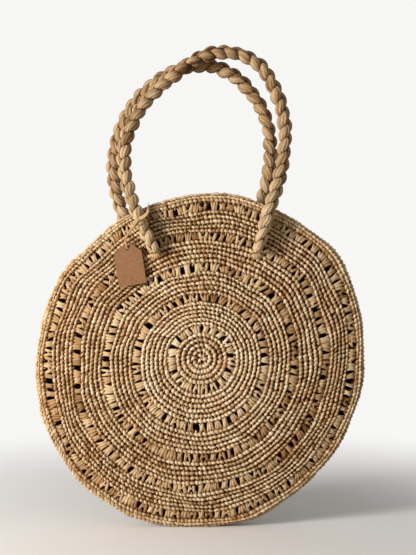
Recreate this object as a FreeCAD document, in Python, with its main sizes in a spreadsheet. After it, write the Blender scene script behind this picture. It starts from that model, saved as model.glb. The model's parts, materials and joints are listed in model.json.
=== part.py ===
import FreeCAD, Part
import math
import os
import Sketcher

Vector = FreeCAD.Vector
Rotation = FreeCAD.Rotation

# Circle bag of crocheted raffia. Millimetres, +Z up, front towards -Y.
# The origin is the middle of the flat on which the bag stands.

doc = FreeCAD.newDocument("CircleBag")
sheet = doc.addObject("Spreadsheet::Sheet", "Sizes")

driving_sizes = [
    ("panel_radius", 186.0, "crocheted disc, from its middle to its last round"),
    ("panel_thickness", 5.0, "crochet fabric"),
    ("dome_rise", 24.0, "how far the middle of a disc stands out from its rim"),
    ("mouth_gap", 16.0, "between the two discs at the rim"),
    ("edge_height", 4.0, "crocheted edge, outwards from the rim of a disc"),
    ("openwork_radius_1", 33.5, "middle of the first openwork round"),
    ("openwork_radius_2", 72.5, "middle of the second openwork round"),
    ("openwork_radius_3", 107.0, "middle of the third openwork round"),
    ("openwork_radius_4", 142.5, "middle of the fourth openwork round"),
    ("openwork_radius_5", 175.0, "middle of the fifth openwork round"),
    ("back_openwork_inset", 9.5, "how much nearer the middle the back disc's openwork rounds are"),
    ("openwork_height", 9.5, "an openwork round, from its inner to its outer edge"),
    ("openwork_recess", 1.6, "how much thinner the fabric is in an openwork round"),
    ("mouth_half_angle", 32.0, "the mouth, to each side of the top, in degrees"),
    ("standing_flat", 60.0, "length of the flat under the bag"),
    ("rope_diameter", 16.0, "plaited handle"),
    ("front_foot_drop", 61.0, "from the top of the disc down to the front rope ends"),
    ("back_foot_drop", 64.0, "from the top of the disc down to the back rope ends"),
    ("foot_clearance", 0.6, "between a rope end and the disc"),
    ("leg_clearance", 2.4, "between a handle's leg and the rim, room for the tie"),
    ("crown_gap", 2.5, "between the two handles at the top"),
    ("lash_diameter", 2.8, "raffia that sews a rope end to the disc"),
    ("lash_side_room", 3.6, "from the side of the rope to the middle of a lashing's leg"),
    ("lash_depth_inside", 4.0, "from the inner face of the disc to the middle of the lashing"),
    ("lash_corner_radius", 3.0, "corner of a lashing"),
    ("pin_clearance", 0.1, "round the lashing inside the rope end"),
    ("fabric_clearance", 0.05, "round the lashing inside the crochet fabric"),
    ("tie_along", 40.0, "from the rope end up to the tag's tie"),
    ("tie_width", 4.0, "tie, along the rope"),
    ("tie_thickness", 1.3, "tie, outwards from the rope"),
    ("tie_knot_diameter", 6.4, "knot of the tie"),
    ("long_end_reach", 10.0, "longer loose end of the tie, sideways"),
    ("long_end_rise", 19.0, "longer loose end of the tie, upwards"),
    ("short_end_reach", 14.0, "shorter loose end of the tie, sideways"),
    ("short_end_rise", 12.0, "shorter loose end of the tie, upwards"),
    ("loose_end_bow", 2.5, "how far a loose end stands out in front of the knot's middle"),
    ("strand_diameter", 1.8, "raffia strand of the tag"),
    ("strand_bow", 1.6, "how far the strand bows out between its knots"),
    ("strand_gap", 1.0, "between the knot of the tie and the strand"),
    ("tag_width", 31.0, "card"),
    ("tag_height", 46.0, "card"),
    ("tag_thickness", 0.8, "card"),
    ("tag_clip", 9.5, "clipped top corners"),
    ("tag_hole_diameter", 4.0, "hole in the card"),
    ("tag_hole_drop", 4.5, "from the top edge of the card to the middle of the hole"),
    ("tag_standoff", 3.6, "from the disc to the middle of the hole"),
    ("tag_drop", 32.0, "from the knot of the tie down to the hole"),
    ("tag_shift", 14.5, "from the knot of the tie out to the hole"),
    ("tag_tilt", 10.0, "how far the card hangs off plumb, in degrees"),
    ("loop_height", 11.5, "strand's loop, from the hole up to its knot"),
    ("loop_depth", 4.0, "strand's loop, from its front leg to its back leg"),
    ("loop_knot_diameter", 5.2, "knot at the top of the strand's loop"),
]

for row, (alias, value, note) in enumerate(driving_sizes, start=1):
    sheet.set(f"A{row}", alias)
    sheet.set(f"B{row}", str(value))
    sheet.set(f"C{row}", note)
    sheet.setAlias(f"B{row}", alias)
doc.recompute()


def size(alias):
    return float(sheet.get(alias))


# Sizes that follow from the driving ones
rope_radius = size("rope_diameter") / 2
lash_radius = size("lash_diameter") / 2
rim_depth = size("mouth_gap") / 2 + size("panel_thickness")
dome_radius = (size("panel_radius") ** 2 + size("dome_rise") ** 2) / (2 * size("dome_rise"))
edge_radius = size("panel_radius") + size("edge_height")
disc_height = math.sqrt(edge_radius ** 2 - (size("standing_flat") / 2) ** 2)
edge_radius_expression = "(Sizes.panel_radius + Sizes.edge_height)"
disc_height_expression = f"sqrt({edge_radius_expression}^2 - (Sizes.standing_flat / 2)^2)"
half_gap_expression = "Sizes.mouth_gap / 2"
rim_depth_expression = "(Sizes.mouth_gap / 2 + Sizes.panel_thickness)"
dome_radius_expression = "((Sizes.panel_radius^2 + Sizes.dome_rise^2) / (2 * Sizes.dome_rise))"
openwork_rounds = [alias for alias, value, note in driving_sizes if alias.startswith("openwork_radius")]


def dome_depth(across, up):
    # Distance of a disc's outer face from the middle plane, at a place measured from the disc's middle.
    from_middle = min(math.hypot(across, up), size("panel_radius"))
    return rim_depth + math.sqrt(dome_radius ** 2 - from_middle ** 2) - (dome_radius - size("dome_rise"))


def dome_slope(across, up):
    from_middle = math.hypot(across, up)
    return from_middle / math.sqrt(dome_radius ** 2 - from_middle ** 2)


def origin_plane(body, role):
    return next(feature for feature in body.Origin.OriginFeatures if feature.Role == role)


def new_body(label):
    body = doc.addObject("PartDesign::Body", label)
    body.Label = label
    return body


def new_sketch(body, role, name):
    sketch = body.newObject("Sketcher::SketchObject", name)
    sketch.AttachmentSupport = [(origin_plane(body, role), "")]
    sketch.MapMode = "FlatFace"
    return sketch


def bind(sketch, constraint, name, expression):
    index = sketch.addConstraint(constraint)
    sketch.renameConstraint(index, name)
    sketch.setExpression(f"Constraints.{name}", expression)


def join_corners(sketch, corners):
    for first, first_end, second, second_end in corners:
        sketch.addConstraint(Sketcher.Constraint("Coincident", first, first_end, second, second_end))


def place_at_disc_middle(body):
    body.setExpression("Placement.Base.z", disc_height_expression)


def revolve(body, sketch, axis, name, angle_expression, both_ways):
    turn = body.newObject("PartDesign::Revolution", name)
    turn.Profile = sketch
    turn.ReferenceAxis = (sketch, [axis])
    turn.Midplane = both_ways
    turn.setExpression("Angle", angle_expression)
    doc.recompute()
    return turn


def cut_through(body, sketch, name):
    doc.recompute()
    before = body.Shape.Volume
    pocket = body.newObject("PartDesign::Pocket", name)
    pocket.Profile = sketch
    pocket.Type = "ThroughAll"
    pocket.Midplane = True
    doc.recompute()
    if not body.Shape.Volume < before:
        raise RuntimeError(f"{name} cuts nothing")


def cut_round(body, sketch, name):
    doc.recompute()
    before = body.Shape.Volume
    groove = body.newObject("PartDesign::Groove", name)
    groove.Profile = sketch
    groove.ReferenceAxis = (sketch, ["V_Axis"])
    groove.Angle = 360
    doc.recompute()
    if not body.Shape.Volume < before:
        raise RuntimeError(f"{name} cuts nothing")


def add_rectangle(sketch, left, right, low, high):
    # Lines in the order bottom, right, top, left; their numbers start at the first free one.
    first = sketch.GeometryCount
    corners = [Vector(left, low, 0), Vector(right, low, 0), Vector(right, high, 0), Vector(left, high, 0)]
    for start, end in zip(corners, corners[1:] + corners[:1]):
        sketch.addGeometry(Part.LineSegment(start, end))
    bottom, right_line, top, left_line = range(first, first + 4)
    join_corners(sketch, [
        (bottom, 2, right_line, 1),
        (right_line, 2, top, 1),
        (top, 2, left_line, 1),
        (left_line, 2, bottom, 1),
    ])
    for line in (bottom, top):
        sketch.addConstraint(Sketcher.Constraint("Horizontal", line))
    for line in (right_line, left_line):
        sketch.addConstraint(Sketcher.Constraint("Vertical", line))
    return bottom, right_line, top, left_line


def bind_place(sketch, kind, line, value, name, expression):
    # The place of a line's first point, from the origin, whichever side of it the line lies.
    ends = (-1, 1, line, 1) if value > 0 else (line, 1, -1, 1)
    bind(sketch, Sketcher.Constraint(kind, *ends, abs(value)), name, expression)


# Handle routes: across and up from the line of the rope ends, left foot to right foot
front_route = [
    (-51, 0), (-72, 43), (-86.5, 85.5), (-86.5, 127.5), (-68, 166), (-31.5, 202.5), (14, 230.5),
    (60, 223), (86, 187), (97.5, 140.5), (92, 93.5), (76, 43), (63, 0),
]
back_route = [
    (-70, 0), (-89, 39), (-102, 83.5), (-101, 127.5), (-82, 172), (-44, 209), (5.5, 224),
    (46, 205.5), (75.5, 166), (83, 121.5), (76, 77), (64, 39), (55, 0),
]
front_side = -1
back_side = 1


def foot_level(drop):
    return size("panel_radius") - size(drop)


def foot_depth(route, level):
    # Both rope ends share one hinge line, so the end that lies higher on the dome sets its distance.
    ends = (route[0][0], route[-1][0])
    nearest = min(ends, key=abs)
    slant = math.sqrt(1 + dome_slope(nearest, level) ** 2)
    return dome_depth(nearest, level) + rope_radius * slant + size("foot_clearance")


def handle_points(route, side, drop):
    level = foot_level(drop)
    crown = max(up for across, up in route)
    rim_stand_off = rim_depth + rope_radius + size("leg_clearance")
    crown_stand_off = rope_radius + size("crown_gap") / 2
    points = []
    for across, up in route:
        if up == 0:
            depth = foot_depth(route, level)
        elif math.hypot(across, level + up) < size("panel_radius"):
            depth = dome_depth(across, level + up) + rope_radius + size("leg_clearance")
        else:
            share = up / crown
            depth = rim_stand_off + (crown_stand_off - rim_stand_off) * share
        points.append(Vector(across, side * depth, disc_height + level + up))
    return points


# Each arc takes this share of the shorter run beside it
arc_share = 0.45


def rounded_path(points):
    edges = []
    radii = []
    start = points[0]
    for before, corner, after in zip(points, points[1:], points[2:]):
        run_in = corner - before
        run_out = after - corner
        setback = arc_share * min(run_in.Length, run_out.Length)
        half_turn = run_in.getAngle(run_out) / 2
        radius = setback / math.tan(half_turn)
        heading_in = Vector(run_in).normalize()
        heading_out = Vector(run_out).normalize()
        arc_start = corner - heading_in * setback
        arc_end = corner + heading_out * setback
        inward = (heading_out - heading_in).normalize()
        arc_middle = corner + inward * (radius / math.cos(half_turn) - radius)
        edges.append(Part.LineSegment(start, arc_start).toShape())
        edges.append(Part.Arc(arc_start, arc_middle, arc_end).toShape())
        radii.append(radius)
        start = arc_end
    edges.append(Part.LineSegment(start, points[-1]).toShape())
    return Part.Wire(edges), radii


def tube_along(path, radius, name):
    first = path.OrderedEdges[0]
    start = first.valueAt(first.FirstParameter)
    heading = first.tangentAt(first.FirstParameter)
    ring = Part.Wire([Part.makeCircle(radius, start, heading)])
    tube = path.makePipeShell([ring], True, False)
    expected = math.pi * radius ** 2 * path.Length
    if abs(tube.Volume / expected - 1) > 0.01:
        raise RuntimeError(f"{name}: volume {tube.Volume:.0f}, section times length {expected:.0f}")
    return tube


def add_solid(label, shape):
    piece = doc.addObject("Part::Feature", label)
    piece.Label = label
    piece.Shape = shape
    return piece


# Crocheted discs
def panel(label, turned, route, drop, inset=None):
    body = new_body(label)
    place_at_disc_middle(body)
    body.Placement.Rotation = Rotation(Vector(0, 0, 1), turned)

    half_gap = size("mouth_gap") / 2
    radius = size("panel_radius")
    opening = math.asin(radius / dome_radius)
    down = -math.pi / 2
    up_axis = Vector(0, 0, 1)
    outer_middle = Vector(0, -rim_depth - size("dome_rise") + dome_radius, 0)
    inner_middle = Vector(0, -half_gap - size("dome_rise") + dome_radius, 0)
    outer_apex = Vector(0, -rim_depth - size("dome_rise"), 0)
    inner_apex = Vector(0, -half_gap - size("dome_rise"), 0)

    profile = new_sketch(body, "XY_Plane", f"{label}_profile")
    outer_circle = Part.Circle(outer_middle, up_axis, dome_radius)
    inner_circle = Part.Circle(inner_middle, up_axis, dome_radius)
    profile.addGeometry(Part.ArcOfCircle(outer_circle, down, down + opening))
    profile.addGeometry(Part.LineSegment(Vector(radius, -rim_depth, 0), Vector(radius, -half_gap, 0)))
    profile.addGeometry(Part.ArcOfCircle(inner_circle, down, down + opening))
    profile.addGeometry(Part.LineSegment(inner_apex, outer_apex))
    outer_arc, rim, inner_arc, axis_line = range(4)
    join_corners(profile, [
        (outer_arc, 2, rim, 1),
        (rim, 2, inner_arc, 2),
        (inner_arc, 1, axis_line, 1),
        (axis_line, 2, outer_arc, 1),
    ])
    for geometry, point in ((outer_arc, 3), (inner_arc, 3), (outer_arc, 1), (inner_arc, 1)):
        profile.addConstraint(Sketcher.Constraint("PointOnObject", geometry, point, -2))
    profile.addConstraint(Sketcher.Constraint("Vertical", rim))
    bind(profile, Sketcher.Constraint("DistanceX", -1, 1, rim, 1, radius), "radius", "Sizes.panel_radius")
    bind(profile, Sketcher.Constraint("DistanceY", rim, 2, -1, 1, half_gap), "gap", half_gap_expression)
    bind(profile, Sketcher.Constraint("DistanceY", rim, 1, rim, 2, size("panel_thickness")),
         "rim_thickness", "Sizes.panel_thickness")
    bind(profile, Sketcher.Constraint("DistanceY", axis_line, 2, axis_line, 1, size("panel_thickness")),
         "middle_thickness", "Sizes.panel_thickness")
    bind(profile, Sketcher.Constraint("DistanceY", axis_line, 2, rim, 1, size("dome_rise")),
         "rise", "Sizes.dome_rise")
    revolve(body, profile, "V_Axis", f"{label}_dome", "360", False)

    # The openwork rounds are thinner than the plain ones
    openwork = new_sketch(body, "XY_Plane", f"{label}_openwork")
    half_height = size("openwork_height") / 2
    beyond = rim_depth + size("dome_rise") + size("openwork_recess")
    beyond_expression = f"{rim_depth_expression} + Sizes.dome_rise + Sizes.openwork_recess"
    for alias in openwork_rounds:
        middle = size(alias) - size(inset) if inset else size(alias)
        place = f"(Sizes.{alias} - Sizes.{inset})" if inset else f"Sizes.{alias}"
        floor = dome_depth(middle, 0) - size("openwork_recess")
        floor_expression = (
            f"{rim_depth_expression} + sqrt({dome_radius_expression}^2 - {place}^2)"
            f" - {dome_radius_expression} + Sizes.dome_rise - Sizes.openwork_recess"
        )
        bottom, right, top, left = add_rectangle(
            openwork, middle - half_height, middle + half_height, -beyond, -floor)
        bind_place(openwork, "DistanceX", left, middle - half_height, f"{alias}_inner",
                   f"{place} - Sizes.openwork_height / 2")
        bind_place(openwork, "DistanceX", right, middle + half_height, f"{alias}_outer",
                   f"{place} + Sizes.openwork_height / 2")
        bind_place(openwork, "DistanceY", bottom, -beyond, f"{alias}_beyond", beyond_expression)
        bind_place(openwork, "DistanceY", top, -floor, f"{alias}_floor", floor_expression)
    cut_round(body, openwork, f"{label}_openwork_groove")

    # Holes between the stitches for the lashings
    holes = new_sketch(body, "XZ_Plane", f"{label}_stitch_holes")
    mirror = 1 if turned == 0 else -1
    hole_radius = lash_radius + size("fabric_clearance")
    reach = rope_radius + size("lash_side_room")
    level = foot_level(drop)
    for foot, _ in (route[0], route[-1]):
        for way in (-1, 1):
            across = mirror * foot + way * reach
            number = holes.addGeometry(Part.Circle(Vector(across, level, 0), Vector(0, 0, 1), hole_radius))
            bind(holes, Sketcher.Constraint("Radius", number, hole_radius), f"hole_{number}",
                 "Sizes.lash_diameter / 2 + Sizes.fabric_clearance")
            bind(holes, Sketcher.Constraint("DistanceY", -1, 1, number, 3, level), f"level_{number}",
                 f"Sizes.panel_radius - Sizes.{drop}")
            if across < 0:
                bind(holes, Sketcher.Constraint("DistanceX", number, 3, -1, 1, -across), f"across_{number}",
                     f"{-mirror * foot} - ({way}) * (Sizes.rope_diameter / 2 + Sizes.lash_side_room)")
            else:
                bind(holes, Sketcher.Constraint("DistanceX", -1, 1, number, 3, across), f"across_{number}",
                     f"{mirror * foot} + ({way}) * (Sizes.rope_diameter / 2 + Sizes.lash_side_room)")
    cut_through(body, holes, f"{label}_stitch_pocket")
    return body


# Crocheted edges: bands round the rim, seen from the front as part of a ring
def rim_band(label, lower, upper, lower_expression, upper_expression, at_bottom, angle_expression):
    body = new_body(label)
    place_at_disc_middle(body)
    inner = size("panel_radius")
    outer = edge_radius
    near, far = (-outer, -inner) if at_bottom else (inner, outer)
    radius_expressions = ("Sizes.panel_radius", edge_radius_expression)
    far_expression, near_expression = radius_expressions if at_bottom else radius_expressions[::-1]
    profile = new_sketch(body, "YZ_Plane", f"{label}_profile")
    bottom, right, top, left = add_rectangle(profile, lower, upper, near, far)
    bind_place(profile, "DistanceX", left, lower, "lower", lower_expression)
    bind_place(profile, "DistanceX", right, upper, "upper", upper_expression)
    bind_place(profile, "DistanceY", bottom, near, "near", near_expression)
    bind_place(profile, "DistanceY", top, far, "far", far_expression)
    revolve(body, profile, "H_Axis", f"{label}_ring", angle_expression, True)
    return body


def cut_standing_flat(body):
    # The bag's own weight flattens the edge where it stands.
    half = size("standing_flat") / 2
    label = body.Label
    flat = new_sketch(body, "XZ_Plane", f"{label}_flat")
    bottom, right, top, left = add_rectangle(flat, -half, half, -edge_radius, -disc_height)
    bind_place(flat, "DistanceX", left, -half, "left_half", "Sizes.standing_flat / 2")
    bind_place(flat, "DistanceX", right, half, "right_half", "Sizes.standing_flat / 2")
    bind_place(flat, "DistanceY", bottom, -edge_radius, "below", edge_radius_expression)
    bind_place(flat, "DistanceY", top, -disc_height, "level", disc_height_expression)
    cut_through(body, flat, f"{label}_flat_pocket")


# Plaited handles: a rope with rounded ends, each pierced by its lashing
def handle(label, points):
    path, radii = rounded_path(points)
    print(f"{label}: length {path.Length:.1f}, radii", [round(radius) for radius in radii])
    shape = tube_along(path, rope_radius, label)
    pin_radius = lash_radius + size("pin_clearance")
    for foot in (points[0], points[-1]):
        shape = shape.fuse(Part.makeSphere(rope_radius, foot))
    for foot in (points[0], points[-1]):
        start = foot - Vector(2 * rope_radius, 0, 0)
        shape = shape.cut(Part.makeCylinder(pin_radius, 4 * rope_radius, start, Vector(1, 0, 0)))
    return add_solid(label, shape.removeSplitter()), path


# Lashing: a loop of raffia through the rope end, out through the disc and tied inside
def lashing(label, foot, side):
    reach = rope_radius + size("lash_side_room")
    level = foot.z - disc_height
    inner_face = dome_depth(foot.x, level) - size("panel_thickness")
    inside = side * (inner_face - size("lash_depth_inside"))
    rounding = size("lash_corner_radius")
    left = foot.x - reach
    right = foot.x + reach
    corner_reach = rounding * (1 - math.sqrt(0.5))
    toward = -side

    def at(across, depth):
        return Vector(across, depth, foot.z)

    def line(start, end):
        return Part.LineSegment(start, end).toShape()

    def arc(start, middle, end):
        return Part.Arc(start, middle, end).toShape()

    outer = foot.y
    edges = [
        line(at(left + rounding, outer), at(right - rounding, outer)),
        arc(at(right - rounding, outer), at(right - corner_reach, outer + toward * corner_reach),
            at(right, outer + toward * rounding)),
        line(at(right, outer + toward * rounding), at(right, inside - toward * rounding)),
        arc(at(right, inside - toward * rounding), at(right - corner_reach, inside - toward * corner_reach),
            at(right - rounding, inside)),
        line(at(right - rounding, inside), at(left + rounding, inside)),
        arc(at(left + rounding, inside), at(left + corner_reach, inside - toward * corner_reach),
            at(left, inside - toward * rounding)),
        line(at(left, inside - toward * rounding), at(left, outer + toward * rounding)),
        arc(at(left, outer + toward * rounding), at(left + corner_reach, outer + toward * corner_reach),
            at(left + rounding, outer)),
    ]
    return add_solid(label, tube_along(Part.Wire(edges), lash_radius, label))


def along(path, distance):
    for edge in path.OrderedEdges:
        if distance <= edge.Length:
            parameter = edge.getParameterByLength(distance)
            return edge.valueAt(parameter), edge.tangentAt(parameter)
        distance -= edge.Length
    raise RuntimeError("the rope is shorter than that")


# Tie: raffia wound round the rope, its knot in front, two loose ends
def tag_tie(place, heading):
    half = heading * (size("tie_width") / 2)
    outer_radius = rope_radius + size("tie_thickness")
    wrap = Part.makeCylinder(outer_radius, size("tie_width"), place - half, heading)
    knot_radius = size("tie_knot_diameter") / 2
    knot = place + Vector(0, -outer_radius - knot_radius / 2, 0)
    shape = wrap.fuse(Part.makeSphere(knot_radius, knot))
    bow = size("loose_end_bow")
    # Each loose end is given in shares of its reach, the bow and its rise.
    loose_ends = (
        ("long_end", [(0, 0, 0), (0.4, -0.6, 0.3), (0.8, -0.4, 0.65), (1, 0, 1)]),
        ("short_end", [(0, 0, 0), (0.35, -0.8, 0.25), (0.65, -1, 0.65), (1, -0.8, 1)]),
    )
    for end, shares in loose_ends:
        reach = size(f"{end}_reach")
        rise = size(f"{end}_rise")
        path, _ = rounded_path([knot + Vector(x * reach, y * bow, z * rise) for x, y, z in shares])
        shape = shape.fuse(tube_along(path, size("strand_diameter") / 2, "loose end"))
    # The rope passes through the tie, its knot and the start of its loose ends.
    rope_stretch = heading * (size("tie_width") + size("tie_knot_diameter"))
    rope = Part.makeCylinder(rope_radius, 2 * rope_stretch.Length, place - rope_stretch, heading)
    return add_solid("tag_tie", shape.cut(rope).removeSplitter()), knot


# Hanging strand: down from the knot, through the hole in the card, back up to its own knot
def tag_strand(top, hole, tag_turn):
    reach = size("loop_depth") / 2
    loop = size("loop_height")
    front_top = hole + tag_turn.multVec(Vector(0, -reach, loop))
    front_low = hole + tag_turn.multVec(Vector(0, -reach, 0))
    rear_low = hole + tag_turn.multVec(Vector(0, reach, 0))
    rear_top = hole + tag_turn.multVec(Vector(0, reach, loop))
    bow = Vector(-0.6, -1, 0) * size("strand_bow")
    middle = (top + front_top) * 0.5 + bow
    path, radii = rounded_path([top, middle, front_top, front_low, rear_low, rear_top])
    print(f"tag_strand: length {path.Length:.1f}, radii", [round(radius, 1) for radius in radii])
    radius = size("strand_diameter") / 2
    shape = tube_along(path, radius, "tag_strand")
    loop_knot = hole + tag_turn.multVec(Vector(0, 0, loop))
    shape = shape.fuse(Part.makeSphere(size("loop_knot_diameter") / 2, loop_knot))
    shape = shape.fuse(Part.makeSphere(radius, top))
    return add_solid("tag_strand", shape.removeSplitter())


# Hang tag: a card with clipped top corners, measured from the hole
def hang_tag(hole, tag_turn):
    body = new_body("hang_tag")
    body.Placement = FreeCAD.Placement(hole, tag_turn)
    half = size("tag_width") / 2
    top = size("tag_hole_drop")
    clip = size("tag_clip")
    low = size("tag_height") - top
    card = new_sketch(body, "XZ_Plane", "card_outline")
    corners = [
        Vector(-half, -low, 0),
        Vector(half, -low, 0),
        Vector(half, top - clip, 0),
        Vector(half - clip, top, 0),
        Vector(clip - half, top, 0),
        Vector(-half, top - clip, 0),
    ]
    for start, end in zip(corners, corners[1:] + corners[:1]):
        card.addGeometry(Part.LineSegment(start, end))
    bottom, right, right_clip, top_edge, left_clip, left = range(6)
    join_corners(card, [
        (bottom, 2, right, 1),
        (right, 2, right_clip, 1),
        (right_clip, 2, top_edge, 1),
        (top_edge, 2, left_clip, 1),
        (left_clip, 2, left, 1),
        (left, 2, bottom, 1),
    ])
    for line in (bottom, top_edge):
        card.addConstraint(Sketcher.Constraint("Horizontal", line))
    for line in (right, left):
        card.addConstraint(Sketcher.Constraint("Vertical", line))
    bind(card, Sketcher.Constraint("DistanceX", -1, 1, right, 1, half), "right_half", "Sizes.tag_width / 2")
    bind(card, Sketcher.Constraint("DistanceX", left, 1, -1, 1, half), "left_half", "Sizes.tag_width / 2")
    bind(card, Sketcher.Constraint("DistanceY", -1, 1, top_edge, 1, top), "above_hole", "Sizes.tag_hole_drop")
    bind(card, Sketcher.Constraint("DistanceY", bottom, 1, -1, 1, low), "below_hole",
         "Sizes.tag_height - Sizes.tag_hole_drop")
    for name, line in (("right_clip", right_clip), ("left_clip", left_clip)):
        lower, upper = (1, 2) if line == right_clip else (2, 1)
        rise = Sketcher.Constraint("DistanceY", line, lower, line, upper, clip)
        run = Sketcher.Constraint("DistanceX", line, 2, line, 1, clip)
        bind(card, rise, f"{name}_up", "Sizes.tag_clip")
        bind(card, run, f"{name}_in", "Sizes.tag_clip")
    hole_radius = size("tag_hole_diameter") / 2
    ring = card.addGeometry(Part.Circle(Vector(0, 0, 0), Vector(0, 0, 1), hole_radius))
    card.addConstraint(Sketcher.Constraint("Coincident", ring, 3, -1, 1))
    bind(card, Sketcher.Constraint("Radius", ring, hole_radius), "hole", "Sizes.tag_hole_diameter / 2")
    pad = body.newObject("PartDesign::Pad", "card_pad")
    pad.Profile = card
    pad.Midplane = True
    pad.setExpression("Length", "Sizes.tag_thickness")
    doc.recompute()
    return body


# Bag
panels = [
    panel("front_panel", 0, front_route, "front_foot_drop"),
    panel("back_panel", 180, back_route, "back_foot_drop", "back_openwork_inset"),
]
half_mouth_gap = size("mouth_gap") / 2
rim_seam = rim_band("rim_seam", -rim_depth, rim_depth, rim_depth_expression, rim_depth_expression,
                    True, "360 - 2 * Sizes.mouth_half_angle")
cut_standing_flat(rim_seam)
mouth_edges = [
    rim_band("front_mouth_edge", -rim_depth, -half_mouth_gap, rim_depth_expression, half_gap_expression,
             False, "2 * Sizes.mouth_half_angle"),
    rim_band("back_mouth_edge", half_mouth_gap, rim_depth, half_gap_expression, rim_depth_expression,
             False, "2 * Sizes.mouth_half_angle"),
]

# Handles and their lashings
front_points = handle_points(front_route, front_side, "front_foot_drop")
back_points = handle_points(back_route, back_side, "back_foot_drop")
front_handle, front_path = handle("front_handle", front_points)
back_handle, _ = handle("back_handle", back_points)
lashings = [
    lashing("front_left_lashing", front_points[0], front_side),
    lashing("front_right_lashing", front_points[-1], front_side),
    lashing("back_left_lashing", back_points[0], back_side),
    lashing("back_right_lashing", back_points[-1], back_side),
]

# Tag
tie_place, tie_heading = along(front_path, size("tie_along"))
tie, tie_knot = tag_tie(tie_place, tie_heading)
strand_reach = (size("tie_knot_diameter") + size("strand_diameter")) / 2 + size("strand_gap")
strand_top = tie_knot + Vector(0, -strand_reach, 0)
hole_across = tie_knot.x - size("tag_shift")
hole_level = tie_knot.z - disc_height - size("tag_drop")
hole_depth = dome_depth(hole_across, hole_level) + size("tag_standoff")
hole_place = Vector(hole_across, -hole_depth, disc_height + hole_level)
# The card leans on the dome: its top is nearer the middle plane than its bottom.
card_middle_up = hole_level - size("tag_height") / 2
slope_up = dome_slope(hole_across, card_middle_up) * card_middle_up / math.hypot(hole_across, card_middle_up)
lean = Rotation(Vector(1, 0, 0), -math.degrees(math.atan(slope_up)))
tilt = Rotation(Vector(0, 1, 0), -size("tag_tilt"))
tag_turn = lean.multiply(tilt)
strand = tag_strand(strand_top, hole_place, tag_turn)
tag = hang_tag(hole_place, tag_turn)

doc.recompute()
pieces = panels + [rim_seam] + mouth_edges + [front_handle, back_handle] + lashings + [tie, strand, tag]

for item in doc.Objects:
    if "Invalid" in item.State or "Error" in item.State:
        raise RuntimeError(f"{item.Label} failed: {item.State}")
for piece in pieces:
    if piece.Shape.isNull() or not piece.Shape.isValid() or len(piece.Shape.Solids) != 1:
        raise RuntimeError(f"{piece.Label} isn't one valid solid")

for name, place in (("front hinge", front_points[0]), ("back hinge", back_points[0]),
                    ("strand top", strand_top), ("tag hole", hole_place)):
    print(name, [round(value, 3) for value in place])
print("card faces", [round(value, 4) for value in tag_turn.multVec(Vector(0, 1, 0))])

os.makedirs("parts", exist_ok=True)
for piece in pieces:
    piece.Shape.exportStep(f"parts/{piece.Label}.step")
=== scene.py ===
import bpy
import json
import math
import numpy as np
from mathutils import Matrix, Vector


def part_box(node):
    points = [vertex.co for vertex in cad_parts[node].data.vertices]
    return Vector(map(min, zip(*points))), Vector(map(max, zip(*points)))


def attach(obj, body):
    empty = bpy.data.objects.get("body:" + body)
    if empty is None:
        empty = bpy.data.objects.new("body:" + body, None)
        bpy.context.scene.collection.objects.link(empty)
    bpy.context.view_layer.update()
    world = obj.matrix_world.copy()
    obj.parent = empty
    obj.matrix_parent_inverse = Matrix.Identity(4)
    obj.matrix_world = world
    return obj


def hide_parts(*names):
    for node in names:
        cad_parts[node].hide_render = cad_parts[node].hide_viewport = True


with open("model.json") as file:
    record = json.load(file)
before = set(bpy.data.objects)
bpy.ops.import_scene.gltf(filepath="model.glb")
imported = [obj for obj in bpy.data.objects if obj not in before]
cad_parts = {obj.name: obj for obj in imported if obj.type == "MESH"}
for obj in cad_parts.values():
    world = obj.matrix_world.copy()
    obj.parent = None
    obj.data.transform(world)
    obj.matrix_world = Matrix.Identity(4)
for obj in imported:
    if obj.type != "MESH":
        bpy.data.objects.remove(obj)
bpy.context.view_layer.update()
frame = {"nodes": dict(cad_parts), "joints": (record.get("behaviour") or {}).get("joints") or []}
bpy.ops.object.select_all(action="DESELECT")
joints = {joint["name"]: joint for joint in frame["joints"]}
mm = 0.001
fullTurn = 2 * math.pi
facing = {"front": 1, "back": -1}       # the front looks towards -Y
print("frame loaded")

# Sizes of the bag, read from the frame
panelLow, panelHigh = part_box("front_panel")
seamLow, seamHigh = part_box("rim_seam")
panelRadius = (panelHigh.x - panelLow.x) / 2
edgeRadius = (seamHigh.x - seamLow.x) / 2
discHeight = (panelHigh.z + panelLow.z) / 2
rimDepth = seamHigh.y
domeRise = -panelLow.y - rimDepth
domeRadius = (panelRadius ** 2 + domeRise ** 2) / (2 * domeRise)

# How the soft bag leaves its true circle. Angles are in degrees clockwise from the top, sizes in mm.
softOutline = {
    "oval": (40, 4.4),               # the way it is longer, and by how much
    # middle, spread, outwards
    "bulges": [(10, 10, 2.0), (49, 9, 6.0), (102, 31, -2.6), (130, 12, -1.0), (180, 22, -2.2),
               (222, 12, -1.6), (266, 11, -2.4), (303, 7, 3.6), (318, 10, -2.4), (342, 6, 1.8)],
    "sharpness": 1.6,                # how quickly oval and bulges fade towards the middle
    # waves per turn, outwards or inwards, start, waves per radius
    "ripples": [(7, 0.8, 0.4, 2.0), (11, 0.7, 2.1, 3.0), (17, 0.5, 4.0, 5.0)],
    "dents": [(3, 1.0, 1.3, 1.5), (8, 0.7, 0.2, 2.5)],
    "rimBand": 24,                   # depth over which the dents fade out at the rim
    "middleShift": (1.3, 6.4),       # the front was begun this much to the right and up
    "middleSpread": 0.31,            # share of the radius over which that evens out
    "behindTag": (-72, 90, 32, 2.6), # across and up from the middle, spread, inwards
    "floorLift": 0.1,
    "leastShare": 0.05,              # of the radius, so that nothing is divided by nought at the middle
}


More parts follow.
